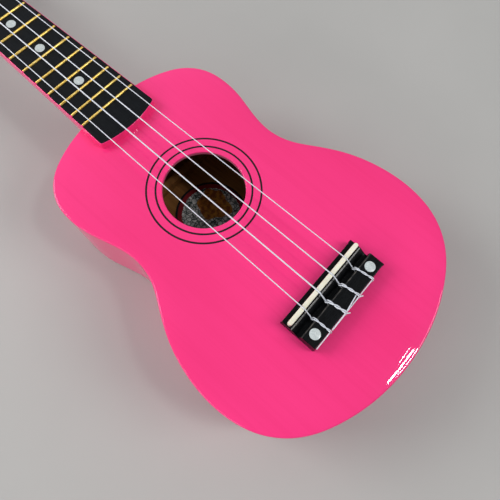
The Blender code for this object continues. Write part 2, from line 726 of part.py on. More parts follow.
def fret_section():
    """A fret's crown and tang, (y, height above the board)."""
    half = FRET_WIDTH / 2
    crown = []
    for k in range(FRET_CROWN_STEPS + 1):
        angle = math.pi * k / FRET_CROWN_STEPS
        crown.append((half * math.cos(angle), FRET_LIFT + FRET_HEIGHT * math.sin(angle)))
    tang = [(-TANG_WIDTH / 2, FRET_LIFT), (-TANG_WIDTH / 2, -TANG_DEPTH),
            (TANG_WIDTH / 2, -TANG_DEPTH), (TANG_WIDTH / 2, FRET_LIFT)]
    return crown + tang


def make_frets():
    for number in range(1, FRET_COUNT + 1):
        y = fret_y(number)
        length = 2 * board_half_width(y) - 2 * GAP
        mesh = flat_mesh('fret', [fret_section()], length)
        add_part(f'fret_{number:02d}', mesh, 'fret_brass', (0, y, BOARD_TOP),
                 rotation=(math.pi / 2, 0, math.pi / 2))


def make_nut():
    bottom = BODY_DEPTH + GAP
    size = (2 * NUT_HALF_WIDTH, NUT_LENGTH, NUT_TOP - bottom)
    nut_y = SCALE_LENGTH + NUT_LENGTH / 2
    nut = add_part('nut', box_mesh('nut', size, bevel=NUT_BEVEL), 'ivory_plastic',
                   (0, nut_y, (NUT_TOP + bottom) / 2))
    for name, x, radius in zip(STRING_NAMES, STRING_X_AT_NUT, STRING_RADII):
        width = 2 * (radius + GAP / 2)
        slot = box_mesh('nut_slot', (width, *NUT_SLOT_CUT))
        slot_z = NUT_SLOT_FLOOR + NUT_SLOT_CUT[1] / 2
        cutter = add_cutter(f'nut_slot_{name}', slot, (x, nut_y, slot_z))
        boolean(nut, cutter, 'DIFFERENCE')


# ------------------------------------------------------------------ bridge
def make_bridge():
    section = [(y, BODY_DEPTH + height) for y, height in BRIDGE_SECTION]
    mesh = flat_mesh('bridge', [section], 2 * BRIDGE_HALF_LENGTH)
    bridge = add_part('bridge', mesh, 'black_plastic', rotation=(math.pi / 2, 0, math.pi / 2))
    slot_size = (2 * (SADDLE_HALF_LENGTH - SADDLE_THICKNESS / 2), SADDLE_THICKNESS + 2 * GAP,
                 SADDLE_SLOT_CUT_HEIGHT)
    slot = box_mesh('saddle_slot', slot_size)
    slot_z = SADDLE_FOOT - GAP + slot_size[2] / 2
    boolean(bridge, add_cutter('saddle_slot', slot, (0, SADDLE_Y, slot_z)), 'DIFFERENCE')
    for name, x in zip(STRING_NAMES, STRING_X_AT_SADDLE):
        drill = cylinder_mesh('tie_drill', TIE_HOLE_RADIUS, -TIE_DRILL_REACH,
                              TIE_DRILL_REACH, TIE_HOLE_SIDES)
        cutter = add_cutter(f'tie_hole_{name}', drill,
                            (x, TIE_DRILL_Y, BODY_DEPTH + TIE_HOLE_HEIGHT),
                            (math.pi / 2, 0, 0))
        boolean(bridge, cutter, 'DIFFERENCE')
    top = BODY_DEPTH + max(height for _, height in BRIDGE_SECTION)
    for name, x in (('bass', -BRIDGE_DOT_X), ('treble', BRIDGE_DOT_X)):
        pocket = cylinder_mesh('pocket', BRIDGE_DOT_RADIUS + INLAY_GAP,
                               -DOT_DEPTH - INLAY_GAP, DOT_DEPTH, DOT_SIDES)
        cutter = add_cutter(f'bridge_pocket_{name}', pocket, (x, BRIDGE_DOT_Y, top))
        boolean(bridge, cutter, 'DIFFERENCE')
        dot = cylinder_mesh('bridge_dot', BRIDGE_DOT_RADIUS, -DOT_DEPTH, 0, DOT_SIDES)
        add_part(f'bridge_dot_{name}', dot, 'dot_plastic', (x, BRIDGE_DOT_Y, top))


def make_saddle():
    """A bar with round ends above the bridge and a shorter foot in its slot."""
    radius = SADDLE_THICKNESS / 2
    ledge = BODY_DEPTH + BRIDGE_SECTION[2][1]
    straight = SADDLE_HALF_LENGTH - radius
    outline = []
    for side in (1, -1):
        for k in range(SADDLE_END_STEPS + 1):
            angle = math.pi * (k / SADDLE_END_STEPS - 0.5)
            outline.append((side * (straight + radius * math.cos(angle)),
                            side * radius * math.sin(angle)))
    upper = ledge + GAP
    blade = flat_mesh('saddle', [outline], SADDLE_TOP - upper)
    saddle = add_part('saddle', blade, 'ivory_plastic', (0, SADDLE_Y, (SADDLE_TOP + upper) / 2))
    foot_height = upper - SADDLE_FOOT + radius
    foot_size = (2 * (straight - GAP), SADDLE_FOOT_THICKNESS, foot_height)
    foot_z = SADDLE_FOOT + foot_height / 2
    foot = add_cutter('saddle_foot', box_mesh('saddle_foot', foot_size), (0, SADDLE_Y, foot_z))
    boolean(saddle, foot, 'UNION')


# ------------------------------------------------------------------ strings
def coil_points(place, radius, headstock_frame):
    """The turns around a post, in world space, from where the string first meets it."""
    side = 1 if place[0] < 0 else -1
    reach = POST_RADIUS + GAP + radius
    points = []
    for k in range(int(COIL_TURNS * COIL_STEPS_PER_TURN) + 1):
        turn = k / COIL_STEPS_PER_TURN
        angle = 2 * math.pi * turn
        x = place[0] + side * reach * math.cos(angle)
        y = place[1] + reach * math.sin(angle)
        points.append(headstock_frame @ Vector((x, y, COIL_START_HEIGHT + COIL_PITCH * turn)))
    return points


def make_strings(headstock_frame):
    frame = (Matrix.Translation(headstock_frame.location)
             @ headstock_frame.rotation_euler.to_matrix().to_4x4())
    for i, name in enumerate(STRING_NAMES):
        radius = STRING_RADII[i]
        lift = radius + GAP / 2
        nut_x = STRING_X_AT_NUT[i]
        nut_z = NUT_SLOT_FLOOR + lift
        nut_end = SCALE_LENGTH + NUT_LENGTH
        over_nut = [(nut_x, nut_end + NUT_EXIT[0], nut_z - NUT_EXIT[1]),
                    (nut_x, nut_end - NUT_EDGE, nut_z), (nut_x, SCALE_LENGTH + NUT_EDGE, nut_z)]
        x = STRING_X_AT_SADDLE[i]
        saddle_z = SADDLE_TOP + lift
        over_saddle = [(x, SADDLE_Y + SADDLE_THICKNESS / 2, saddle_z),
                       (x, SADDLE_Y - SADDLE_THICKNESS / 2 - SADDLE_EXIT, saddle_z)]
        tie = [(x + dx, y, BODY_DEPTH + height) for dx, y, height in TIE_ROUTE]
        coil = coil_points(TUNER_PLACES[i], radius, frame)
        route = list(reversed(coil)) + over_nut + over_saddle
        route += smooth_route(tie, TIE_SMOOTHING)
        add_part(f'string_{name}', tube_mesh(f'string_{name}', route, radius), 'nylon')


# ------------------------------------------------------------------ tuners
def gear_loop(twist):
    """The gear's toothed outline, with one tooth towards -Y, turned by the twist."""
    tooth_angle = 2 * math.pi / GEAR_TEETH
    half_tooth = GEAR_TOOTH_SHARE * WORM_PITCH / 2
    tip_half = half_tooth - GEAR_ADDENDUM * FLANK_SLOPE
    root_half = half_tooth + GEAR_DEDENDUM * FLANK_SLOPE
    tip = GEAR_RADIUS + GEAR_ADDENDUM
    root = GEAR_RADIUS - GEAR_DEDENDUM
    loop = []
    for tooth in range(GEAR_TEETH):
        middle = -math.pi / 2 + tooth * tooth_angle + twist
        corners = ((root, -root_half), (tip, -tip_half), (tip, tip_half), (root, root_half))
        for radius, across in corners:
            angle = middle + across / radius
            loop.append((radius * math.cos(angle), radius * math.sin(angle)))
    return loop


def make_gear_mesh():
    """The worm wheel; its teeth lean by the worm's lead."""
    lead = WORM_PITCH / (2 * math.pi * WORM_RADIUS)
    half_twist = GEAR_THICKNESS / 2 * lead / GEAR_RADIUS
    rings = [at_height(gear_loop(-half_twist), GEAR_TOP - GEAR_THICKNESS),
             at_height(gear_loop(half_twist), GEAR_TOP)]
    return loft('gear', rings)


def worm_reach(angle, x):
    """The worm's radius: a single thread whose valley is at x = 0 on the gear's side."""
    if abs(x) > WORM_HALF_LENGTH:
        return SHAFT_RADIUS
    phase = (x / WORM_PITCH - angle / (2 * math.pi)) % 1.0
    from_crest = abs(phase - 0.5) * WORM_PITCH
    half_thread = WORM_THREAD_SHARE * WORM_PITCH / 2
    tip_half = half_thread - WORM_ADDENDUM * FLANK_SLOPE
    root_half = half_thread + WORM_DEDENDUM * FLANK_SLOPE
    share = (root_half - from_crest) / (root_half - tip_half)
    share = min(1.0, max(0.0, share))
    return WORM_RADIUS - WORM_DEDENDUM + share * (WORM_ADDENDUM + WORM_DEDENDUM)


def shaft_ring(x, radius=None):
    """A ring around the shaft, from +Y towards +Z; with no radius it follows the thread."""
    ring = []
    for k in range(WORM_SIDES):
        angle = 2 * math.pi * k / WORM_SIDES
        reach = worm_reach(angle, x) if radius is None else radius
        ring.append((x, reach * math.cos(angle), reach * math.sin(angle)))
    return ring


def make_shaft_mesh():
    """The worm with its journals, its two collars and the stem that holds the button."""
    collar_inner = TAB_INNER_X + TAB_THICKNESS + GAP
    collar_outer = collar_inner + SHAFT_COLLAR_LENGTH
    rings = [
        shaft_ring(-collar_outer, SHAFT_COLLAR_RADIUS),
        shaft_ring(-collar_inner, SHAFT_COLLAR_RADIUS),
        shaft_ring(-collar_inner, SHAFT_RADIUS),
    ]
    steps = round(2 * WORM_HALF_LENGTH / WORM_STEP)
    worm_end = WORM_HALF_LENGTH + WORM_STEP
    rings.append(shaft_ring(-worm_end, SHAFT_RADIUS))
    rings += [shaft_ring(-WORM_HALF_LENGTH + k * WORM_STEP) for k in range(steps + 1)]
    rings.append(shaft_ring(worm_end, SHAFT_RADIUS))
    rings += [
        shaft_ring(collar_inner, SHAFT_RADIUS),
        shaft_ring(collar_inner, SHAFT_COLLAR_RADIUS),
        shaft_ring(collar_outer, SHAFT_COLLAR_RADIUS),
        shaft_ring(collar_outer, SHAFT_RADIUS),
        shaft_ring(SHAFT_END_X, SHAFT_RADIUS),
    ]
    return loft('worm_shaft', rings)


def button_ring(x, half_width, half_thickness):
    """An oval ring around the button's X axis."""
    points = []
    for k in range(BUTTON_SIDES):
        angle = 2 * math.pi * k / BUTTON_SIDES
        points.append((x, half_width * math.cos(angle), half_thickness * math.sin(angle)))
    return points


def make_button_mesh():
    """A flat oval button on a round hub, with a blind bore for the stem."""
    start = BUTTON_START_X
    bore = SHAFT_RADIUS + GAP
    profile = [
        (SHAFT_END_X + GAP, bore, bore), (start, bore, bore),
        (start, BUTTON_HUB_RADIUS, BUTTON_HUB_RADIUS),
        (start + 0.0012, BUTTON_HUB_RADIUS + 0.0002, BUTTON_HUB_RADIUS),
        (start + 0.0032, 0.80 * BUTTON_HALF_WIDTH, 0.97 * BUTTON_HALF_THICKNESS),
        (start + BUTTON_BELLY, BUTTON_HALF_WIDTH, BUTTON_HALF_THICKNESS),
    ]
    for angle in BUTTON_END_ANGLES:
        x = start + BUTTON_BELLY + (BUTTON_LENGTH - BUTTON_BELLY) * math.sin(angle)
        shrink = math.cos(angle) ** BUTTON_FULLNESS
        profile.append((x, BUTTON_HALF_WIDTH * shrink, BUTTON_HALF_THICKNESS * shrink))
    return loft('button', [button_ring(*values) for values in profile])


def make_plate_mesh():
    """The plate under the headstock, with a hole for the post."""
    low, high = PLATE_ENDS_Y
    width = PLATE_HALF_WIDTH
    corners = [(-width, low), (width, low), (width, high), (-width, high)]
    outline = []
    for i, corner in enumerate(corners):
        outline += rounded_corner(corners[i - 1], corner, corners[(i + 1) % 4],
                                  PLATE_CORNER_RADIUS)
    hole = circle(POST_RADIUS + BEARING_GAP, POST_SIDES)
    return flat_mesh('tuner_plate', [outline, hole], PLATE_THICKNESS)


def add_plate(name, frame):
    """A tuner's plate with the two tabs that carry the worm's journals."""
    plate = add_part(name, make_plate_mesh(), 'nickel',
                     (0, 0, (PLATE_TOP + PLATE_BOTTOM) / 2), parent=frame)
    tab_top = PLATE_BOTTOM + PLATE_THICKNESS / 2
    tab_bottom = GEAR_MIDDLE - TAB_DROP
    size = (TAB_THICKNESS, 2 * TAB_HALF_WIDTH, tab_top - tab_bottom)
    for side in (1, -1):
        tab = box_mesh('tab', size)
        place = (side * (TAB_INNER_X + TAB_THICKNESS / 2), WORM_Y, (tab_top + tab_bottom) / 2)
        boolean(plate, add_cutter(f'{name}_tab_{side}', tab, place, parent=frame), 'UNION')
    reach = TAB_INNER_X + 2 * TAB_THICKNESS
    drill = cylinder_mesh('journal_drill', SHAFT_RADIUS + BEARING_GAP, -reach, reach,
                          WORM_SIDES)
    cutter = add_cutter(f'{name}_journals', drill, (0, WORM_Y, GEAR_MIDDLE),
                        (0, math.pi / 2, 0), parent=frame)
    boolean(plate, cutter, 'DIFFERENCE')


def add_post(name, frame):
    """The string post with the worm wheel on its lower end."""
    bottom = GEAR_TOP - GEAR_THICKNESS + POST_END_STEP
    profile = [(POST_RADIUS, bottom), (POST_RADIUS, POST_TOP - POST_RIM_BEVEL),
               (POST_RADIUS - POST_RIM_BEVEL, POST_TOP)]
    rings = [at_height(circle(radius, POST_SIDES), z) for radius, z in profile]
    post = add_part(name, loft('string_post', rings), 'nickel', parent=frame)
    gear = add_cutter(f'{name}_gear', make_gear_mesh(), parent=frame)
    boolean(post, gear, 'UNION')
    drill = cylinder_mesh('string_drill', POST_HOLE_RADIUS, -2 * POST_RADIUS,
                          2 * POST_RADIUS, POST_HOLE_SIDES)
    cutter = add_cutter(f'{name}_string_hole', drill, (0, 0, POST_HOLE_HEIGHT),
                        (0, math.pi / 2, 0), parent=frame)
    boolean(post, cutter, 'DIFFERENCE')


def add_ferrule(name, frame):
    """The flanged bush in the front of the headstock, turned around the post."""
    inner = POST_RADIUS + BEARING_GAP
    profile = [
        (inner, GAP + FLANGE_HEIGHT), (FLANGE_RADIUS, GAP + FLANGE_HEIGHT),
        (FLANGE_RADIUS, GAP), (FERRULE_RADIUS, GAP), (FERRULE_RADIUS, -FERRULE_DEPTH),
        (inner, -FERRULE_DEPTH),
    ]
    rings = []
    for k in range(POST_SIDES):
        angle = 2 * math.pi * k / POST_SIDES
        rings.append([(r * math.cos(angle), r * math.sin(angle), z) for r, z in profile])
    add_part(name, loft('ferrule', rings, loop_back=True), 'nickel', parent=frame)


def make_tuners(headstock_frame):
    for string, (x, y) in zip(STRING_NAMES, TUNER_PLACES):
        frame = bpy.data.objects.new(f'tuner_frame_{string}', None)
        frame.location = (x, y, 0)
        frame.parent = headstock_frame
        PARTS.objects.link(frame)
        add_plate(f'tuner_plate_{string}', frame)
        add_post(f'string_post_{string}', frame)
        add_ferrule(f'ferrule_{string}', frame)
        turned = (0, math.pi if x < 0 else 0, 0)
        axis = (0, WORM_Y, GEAR_MIDDLE)
        add_part(f'worm_shaft_{string}', make_shaft_mesh(), 'nickel', axis, turned, frame)
        add_part(f'tuner_button_{string}', make_button_mesh(), 'cream_plastic', axis, turned,
                 frame)


make_soundboard()
make_back()
make_sides()
make_linings()
make_blocks()
make_bracing()
HEADSTOCK_FRAME = make_headstock_frame()
make_neck(HEADSTOCK_FRAME)
make_fretboard()
make_frets()
make_nut()
make_bridge()
make_saddle()
make_strings(HEADSTOCK_FRAME)
make_tuners(HEADSTOCK_FRAME)
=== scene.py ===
"""The looks of the ukulele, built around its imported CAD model.

Lengths are in metres in the CAD model's frame: +Z out of the soundboard, +Y up the neck and
+X to the side of the A string, with the origin on the back under the bridge end of the scale.
"""

import math

import bmesh
import bpy
import numpy as np
from mathutils import Matrix, Vector


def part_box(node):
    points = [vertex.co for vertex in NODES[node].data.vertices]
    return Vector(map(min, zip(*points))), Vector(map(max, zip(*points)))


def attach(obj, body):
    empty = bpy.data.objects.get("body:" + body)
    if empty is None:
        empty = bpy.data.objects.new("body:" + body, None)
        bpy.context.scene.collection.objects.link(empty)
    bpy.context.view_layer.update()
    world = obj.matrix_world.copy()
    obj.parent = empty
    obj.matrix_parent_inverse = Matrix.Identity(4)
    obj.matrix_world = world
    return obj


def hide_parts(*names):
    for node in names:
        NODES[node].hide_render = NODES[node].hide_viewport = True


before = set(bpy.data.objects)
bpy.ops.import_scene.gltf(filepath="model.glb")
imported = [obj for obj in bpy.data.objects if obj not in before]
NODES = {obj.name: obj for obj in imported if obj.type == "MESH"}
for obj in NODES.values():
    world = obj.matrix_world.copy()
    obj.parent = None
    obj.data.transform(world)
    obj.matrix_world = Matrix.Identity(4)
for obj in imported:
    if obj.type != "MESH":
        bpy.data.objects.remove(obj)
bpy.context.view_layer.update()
BODY = "ukulele"
STRINGS = ("g", "c", "e", "a")

SMOOTH_ANGLE = 38
METAL_SMOOTH_ANGLE = 35
BEVEL_ANGLE = math.radians(40)
TUBE_TIP_SHARE = 0.6
SAME_LEVEL = 0.00001
LOOP_START_MARGIN = 0.0001
HALF = 0.5
UPWARDS = 0.9
TURN = 2 * math.pi

# ---- sizes
BODY_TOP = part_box("soundboard")[1].z
TOP_SEAM = (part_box("soundboard")[0].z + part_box("side_bass")[1].z) / 2
BACK_SEAM = (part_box("back_plate")[1].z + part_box("side_bass")[0].z) / 2
OUTLINE_COUNT = 384
SIDE_THICKNESS = 0.0020
SIDE_JOINT_GAP = 0.00001
SIDE_INNER_WALL = 2  # of the four walls of a side's section
EDGE_RADIUS = 0.0014
ROLL_WIDTH = 0.0090
ROLL_DROP = 0.00040
ROLL_STEPS = 10
HOLE_CENTRE = (0.0, 0.0896)
HOLE_RADIUS = 0.0258
HOLE_EDGE_RADIUS = 0.0006
HOLE_FLAT_BAND = 0.0004
RING_RADII = {"inner": 0.0298, "outer": 0.0355}
RING_SECTION = ((-0.0006, -0.0002), (-0.0006, 0.000015), (-0.00048, 0.00003),
                (0.00048, 0.00003), (0.0006, 0.000015), (0.0006, -0.0002))
LABEL_CENTRE = (0.0062, 0.0919)
LABEL_RADIUS = 0.0267
LABEL_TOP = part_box("label")[1].z
LABEL_EDGE = 0.0001
LABEL_PATCH_CENTRE = (0.0125, 0.0965)
INSIDE_NODES = ("neck_block", "tail_block", "lining_top", "lining_back", "brace_upper",
                "brace_lower", "bridge_plate", "back_brace_upper", "back_brace_lower")

BOARD_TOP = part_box("fretboard")[1].z
BOARD_EDGE_RADIUS = 0.0004
BOARD_FLAT_INSETS = (0.0007, 0.0012)
BOARD_END_LEAD = 0.001
FRET_HALF_WIDTH = (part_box("fret_12")[1].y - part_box("fret_12")[0].y) / 2
FRET_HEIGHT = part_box("fret_12")[1].z - BOARD_TOP
FRET_COUNT = 12
FRET_ROOT = 0.0002
FRET_BASS_OVERHANG = 0.0003
FRET_TREBLE_SETBACK = 0.0006
FRET_END = ((0.0, 0.25), (0.0004, 0.72), (0.0009, 1.0))  # (distance in, share of the height)
FRET_END_TAPER = 0.4
OVAL_POWER = 0.8
INLAY_FRETS = (5, 7, 10)
INLAY = {"radius": 0.00325, "proud": 0.00003, "dome": 0.00008}
CAP = {"radius": 0.0032, "proud": 0.00008, "dome": 0.00035}
DOT_DEPTH = 0.0006
DOT_DOME_SHARES = (0.95, 0.80, 0.55, 0.25)

HEADSTOCK_ANGLE = math.radians(12)
HEADSTOCK_TILT = Matrix.Rotation(-HEADSTOCK_ANGLE, 4, "X")
HEADSTOCK_THICKNESS = 0.0120
HEADSTOCK_ORIGIN = Vector((0, 0.3502, BODY_TOP))
HEADSTOCK_STATIONS = [
    (0.0000, -0.0050), (0.0120, -0.0046), (0.0168, 0.0000), (0.0192, 0.0090),
    (0.0240, 0.0200), (0.0266, 0.0330), (0.0272, 0.0600), (0.0284, 0.0920),
    (0.0262, 0.1085), (0.0140, 0.1135), (0.0000, 0.1150),
]
HEADSTOCK_EDGE_RADIUS = 0.0012
HEADSTOCK_LAYERS = 7
SCOOP_START = -0.0005
SCOOP_LENGTH = 0.016
SCOOP_POWER = 1.6
NECK_START_Y = 0.1700
NECK_END_Y = 0.1785
HEEL_START_Y = 0.2060
SHAFT_YS = (0.2200, 0.2500, 0.2800, 0.3100, 0.3400)
BEND_Y = HEADSTOCK_ORIGIN.y - 0.0004
BEND_YS = (BEND_Y, BEND_Y + 0.006, BEND_Y + 0.012)
BEND_SINK_SLOPE = 0.1
BEND_SINK = 0.0004
NECK_DEPTHS = (0.0120, 0.0145)
HEEL_DROP = 0.0390
HEEL_CURVE = 2.3
HEEL_FOOT_HALF_WIDTH = 0.0150
BODY_CUT_GAP = 0.00005
BODY_CUT_HEIGHTS = (-0.02, 0.10)
NUT_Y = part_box("nut")[0].y
NUT_HALF_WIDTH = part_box("nut")[1].x

BRIDGE_HALF_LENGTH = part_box("bridge")[1].x
BLOCK_FRONT_Y = -0.0119
BLOCK_REAR_Y = -0.0217
BLOCK_HEIGHT = 0.0081
BLOCK_TOP = BODY_TOP + BLOCK_HEIGHT
BRIDGE_SECTION = [
    (0.0015, 0.0001), (0.0015, 0.0055), (-0.0053, 0.0055), (-0.0095, 0.0026),
    (-0.0117, 0.0026), (BLOCK_FRONT_Y, BLOCK_HEIGHT), (BLOCK_REAR_Y, BLOCK_HEIGHT),
    (BLOCK_REAR_Y, 0.0001),
]
BRIDGE_CORNER_RADII = (0.0002, 0.0005, 0.0007, 0.0006, 0.0003, 0.0006, 0.0007, 0.0002)
BRIDGE_END_BEVEL = 0.00035
# Painted highlight: the two rounded edges of the bridge's section (y, height) that get a lighter
# colour in place of the light they catch, and how far that colour reaches.
PAINTED_HIGHLIGHT_EDGES = ((-0.0055, 0.0054), (-0.0121, 0.0079))
PAINTED_HIGHLIGHT_REACH = 0.0004
SADDLE_Y = -0.0026
SADDLE_RADIUS = 0.0014
SADDLE_HALF_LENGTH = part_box("saddle")[1].x
SADDLE_FOOT = BODY_TOP + 0.0045
SADDLE_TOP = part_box("saddle")[1].z
SADDLE_EDGE_RADIUS = 0.00045

STRING_RADII = (0.00032, 0.00044, 0.00037, 0.00030)
STRING_SIDES = 10
STRING_LIFT = 0.0001
STRING_X_AT_NUT = (-0.0139, -0.0046, 0.0046, 0.0139)
STRING_X_AT_SADDLE = (-0.0192, -0.0064, 0.0064, 0.0192)
NUT_SLOT_FLOOR = BOARD_TOP + 0.0014
NUT_LENGTH = 0.0036

# The string's way over the nut: (y from the nut, height added); and over the saddle: (y from
# its middle, share of the string's lift, height added).
NUT_OVERRUN = ((NUT_LENGTH + 0.0016, -0.0002), (NUT_LENGTH - 0.0002, 0.0), (0.0002, 0.0))
SADDLE_CREST = ((SADDLE_RADIUS, 0.9, 0.0), (0.0, 1.0, 0.0), (0.0004 - SADDLE_RADIUS, 0.9, 0.0),
                (-0.0006 - SADDLE_RADIUS, 1.0, -0.0004))

# The tie at the bridge, with heights above the soundboard: (y, height) into the hole; up
# behind the block (share of the way across to the riser, y from the rear, height above the
# hole); around the front (distance out, y, height); and the step over the rear edge (x, y, z).
TIE_ENTRY = ((-0.0102, 0.0048), (-0.0114, 0.0038))
TIE_HOLE_HEIGHT = 0.0034
TIE_HOLE_YS = (-0.0130, -0.0165, -0.0203)
TIE_HOLE_MIDDLE_Y = -0.0245
TIE_RISER = ((0.5, -0.0008, 0.0010), (1.0, -0.0011, 0.0032))
TIE_RISER_TOP_Y = BLOCK_REAR_Y - 0.0005
TIE_FRONT_SIDE = ((0.0001, -0.0109, 0.0077), (0.0003, -0.0102, 0.0060))
TIE_FRONT_MIDDLE = (-0.0096, 0.0041)
TIE_OVER = (-0.0002, -0.0003, 0.0001)
TIE_LEANS = (0.0002, 0.0013, 0.0012, 0.0013)
TIE_STEPS = 12
TIE_MARGIN = 0.0003
TIE_STRAND_GAP = 0.00006
TIE_LEAD_SHARE = 0.25
TAIL_LENGTHS = (0.0118, 0.0110, 0.0103, 0.0104)
TAIL_SHARES = (0.4, 0.7, 1.0)
TAIL_START = 0.0010
TAIL_HEIGHT = 0.0078
TAIL_GAP = 0.0001

# Loose ends on the tie block: (string, x from its knot, y from the rear edge, height).
LOOSE_ENDS = {
    "string_spare_end": (("e", -0.0012, 0.0012, 0.0), ("e", -0.0050, 0.0007, 0.0),
                         ("c", 0.0042, 0.0002, 0.0), ("c", 0.0011, -0.0002, 0.0)),
    "string_stub_c": (("c", -0.0006, -0.0006, 0.0), ("c", 0.0004, -0.0013, 0.0004),
                      ("c", 0.0014, -0.0021, 0.0005)),
    "string_stub_e": (("e", -0.0006, -0.0006, 0.0), ("e", 0.0003, -0.0012, 0.0004),
                      ("e", 0.0012, -0.0018, 0.0005)),
}
LOOSE_END_RADIUS = STRING_RADII[2] * 0.9
LOOSE_END_GAP = 0.00005
POST_END_ROUTE = ((-0.0022, 0.0, 0.0), (0.0024, 0.0, 0.0), (0.0042, 0.0004, 0.0004),
                  (0.0056, 0.0016, 0.0014))
COIL_START_HEIGHT = 0.0036
COIL_TURNS = 2.25
COIL_PITCH = 0.0011
COIL_GAP = 0.0003

TUNER_PLACES = ((-0.0160, 0.0360), (-0.0172, 0.0760), (0.0172, 0.0760), (0.0160, 0.0360))
GEAR_TEETH = 14
WORM_PITCH = 0.0024
GEAR_RADIUS = GEAR_TEETH * WORM_PITCH / TURN
GEAR_ADDENDUM = 0.00065
GEAR_DEDENDUM = 0.00090
GEAR_TOOTH_SHARE = 0.40
GEAR_TIP_EASE = (0.0001, 0.00005)
GEAR_TIP_FLAT = 0.7
GEAR_THICKNESS = 0.0028
GEAR_CHAMFER = 0.0003
WORM_RADIUS = 0.0022
WORM_THREAD_SHARE = 0.34
WORM_FADE_TURNS = 0.2
FLANK_SLOPE = math.tan(math.radians(20))
WORM_HALF_LENGTH = 0.0024
WORM_SIDES = 40
WORM_STEP = WORM_PITCH / 24
WORM_Y = -(GEAR_RADIUS + WORM_RADIUS)
PLATE_BOTTOM = -HEADSTOCK_THICKNESS - 0.0013
GEAR_MIDDLE = PLATE_BOTTOM - WORM_RADIUS - GEAR_ADDENDUM - 0.0003
SHAFT_RADIUS = 0.0013
SHAFT_END_X = 0.0205
COLLAR_START = 0.0052
COLLAR_RADIUS = 0.0020
COLLAR_LENGTH = 0.0007
COLLAR_EASE = 0.00015
POST_RADIUS = 0.0028
POST_TOP = 0.0095
POST_FOOT = ((0.0016, -0.0003), (0.00224, -0.0001), (0.002408, 0.0), (POST_RADIUS, 0.0004))
POST_FOOT_GAP = 0.0004
POST_HOLE_HEIGHT = 0.0074
POST_GROOVE = ((0.0, -0.0016), (0.0002, -0.0011), (0.0002, 0.0010), (0.0, 0.0014))
POST_TIP_RADIUS = 0.0005
POST_DIMPLE = ((0.0008, 0.0), (0.0005, -0.0002))
BUSH_PROFILE = ((0.0031, -0.004), (0.0031, 0.0011), (0.0033, 0.0013), (0.0046, 0.0012),
                (0.0050, 0.0009), (0.0052, 0.0005), (0.0052, 0.00002), (0.0042, 0.00002),
                (0.0042, -0.004))
BUTTON_START_X = 0.0136
BUTTON_LENGTH = 0.0130
BUTTON_BELLY = 0.0068
BUTTON_HALF_WIDTH = 0.0060
BUTTON_HALF_THICKNESS = 0.0031
BUTTON_HUB = ((0.0, 0.0014, 0.0014), (0.0, 0.0026, 0.0026), (0.0002, 0.0029, 0.0028),
              (0.0013, 0.0030, 0.0028))  # (distance, half width, half thickness)
BUTTON_SWELL_STEPS = 10
BUTTON_END_POWER = 0.62
SCREW_YS = (-0.0134, 0.0088)
SCREW_RADIUS = 0.0019
SCREW_ROOT = -0.0001
SCREW_RIM = 0.0002
SCREW_DOME = 0.0008
SLOT_HALF_WIDTH = 0.00035
SLOT_DEPTH = 0.00035
SLOT_LOWEST = 0.0004
SCREW_TURNS = (0.7, 0.5)  # how far a screw is turned, in radians: for its number, its tuner

CAMERA_PLACE = (-0.0773, 0.0007, 0.3048)
CAMERA_DEGREES = (18.129, -2.639, -48.814)
CAMERA_SETTINGS = {"lens": 31.28, "sensor_width": 36.0, "shift_x": 0.0031,
                   "shift_y": -0.0086, "clip_start": 0.01}
FLOOR_PLACE = (0, 0.1, -0.0002)

# Lights: (name, place, size, power), and the bright slats of the window: (name, place, size).
LIGHT_TARGET = (0, 0.08, 0.05)
SOFT_LIGHTS = [
    ("head_side", (-0.75, 1.3, 0.95), (0.9, 0.9), 17),
    ("bass_side", (-1.4, 0.05, 0.55), (1.2, 0.4), 7),
    ("tail_side", (0.95, -1.55, 1.5), (1.0, 1.0), 22),
]
WINDOW_SLATS = [
    ("inner", (0.67, -0.81, 2.1), (0.13, 0.02)),
    ("middle", (0.61, -0.93, 2.1), (0.30, 0.05)),
    ("outer", (0.64, -1.04, 2.1), (0.32, 0.05)),
]
WINDOW_EMISSION = 230
STUDIO_COLOUR = (0.94, 0.97, 1.0, 1.0)
STUDIO_STRENGTH = (0.21, 0.62)
STUDIO_STRENGTH_SPAN = (-0.3, 0.6)


# ---- mesh helpers
def smooth(mesh, angle=SMOOTH_ANGLE):
    """Smooth shading, except over edges that bend by more than the angle."""
    mesh.shade_smooth()
    mesh.set_sharp_from_angle(angle=math.radians(angle))


def finish_mesh(bm, smooth_angle=SMOOTH_ANGLE):
    bmesh.ops.recalc_face_normals(bm, faces=bm.faces)
    mesh = bpy.data.meshes.new("mesh")
    bm.to_mesh(mesh)
    bm.free()
    smooth(mesh, smooth_angle)
    return mesh


def loft(rings, closed=False, smooth_angle=SMOOTH_ANGLE):
    """Skin over rings of equal length: capped at both ends, or joined last to first."""
    bm = bmesh.new()
    rows = [[bm.verts.new(point) for point in ring] for ring in rings]
    following = rows[1:] + rows[:1] if closed else rows[1:]
    for row, next_row in zip(rows, following):
        for i in range(len(row)):
            j = (i + 1) % len(row)
            bm.faces.new((row[i], row[j], next_row[j], next_row[i]))
    if not closed:
        bm.faces.new(rows[0])
        bm.faces.new(rows[-1])
    return finish_mesh(bm, smooth_angle)


def add_object(name, data):
    item = bpy.data.objects.new(name, data)
    bpy.context.scene.collection.objects.link(item)
    return item


def piece(name, mesh, materials, body=BODY, replaces=(), matrix=None):
    """Put a mesh in the scene as a piece that rides on a body."""
    mesh.name = name
    for material in materials:
        mesh.materials.append(material)
    item = add_object(name, mesh)
    if matrix is not None:
        item.matrix_world = matrix
    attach(item, body)
    if replaces:
        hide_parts(*replaces)
    return item


def paint_faces(mesh, material, wanted):
    """Give every face that the test picks one of the mesh's materials."""
    index = list(mesh.materials).index(material)
    for face in mesh.polygons:
        if wanted(face):
            face.material_index = index


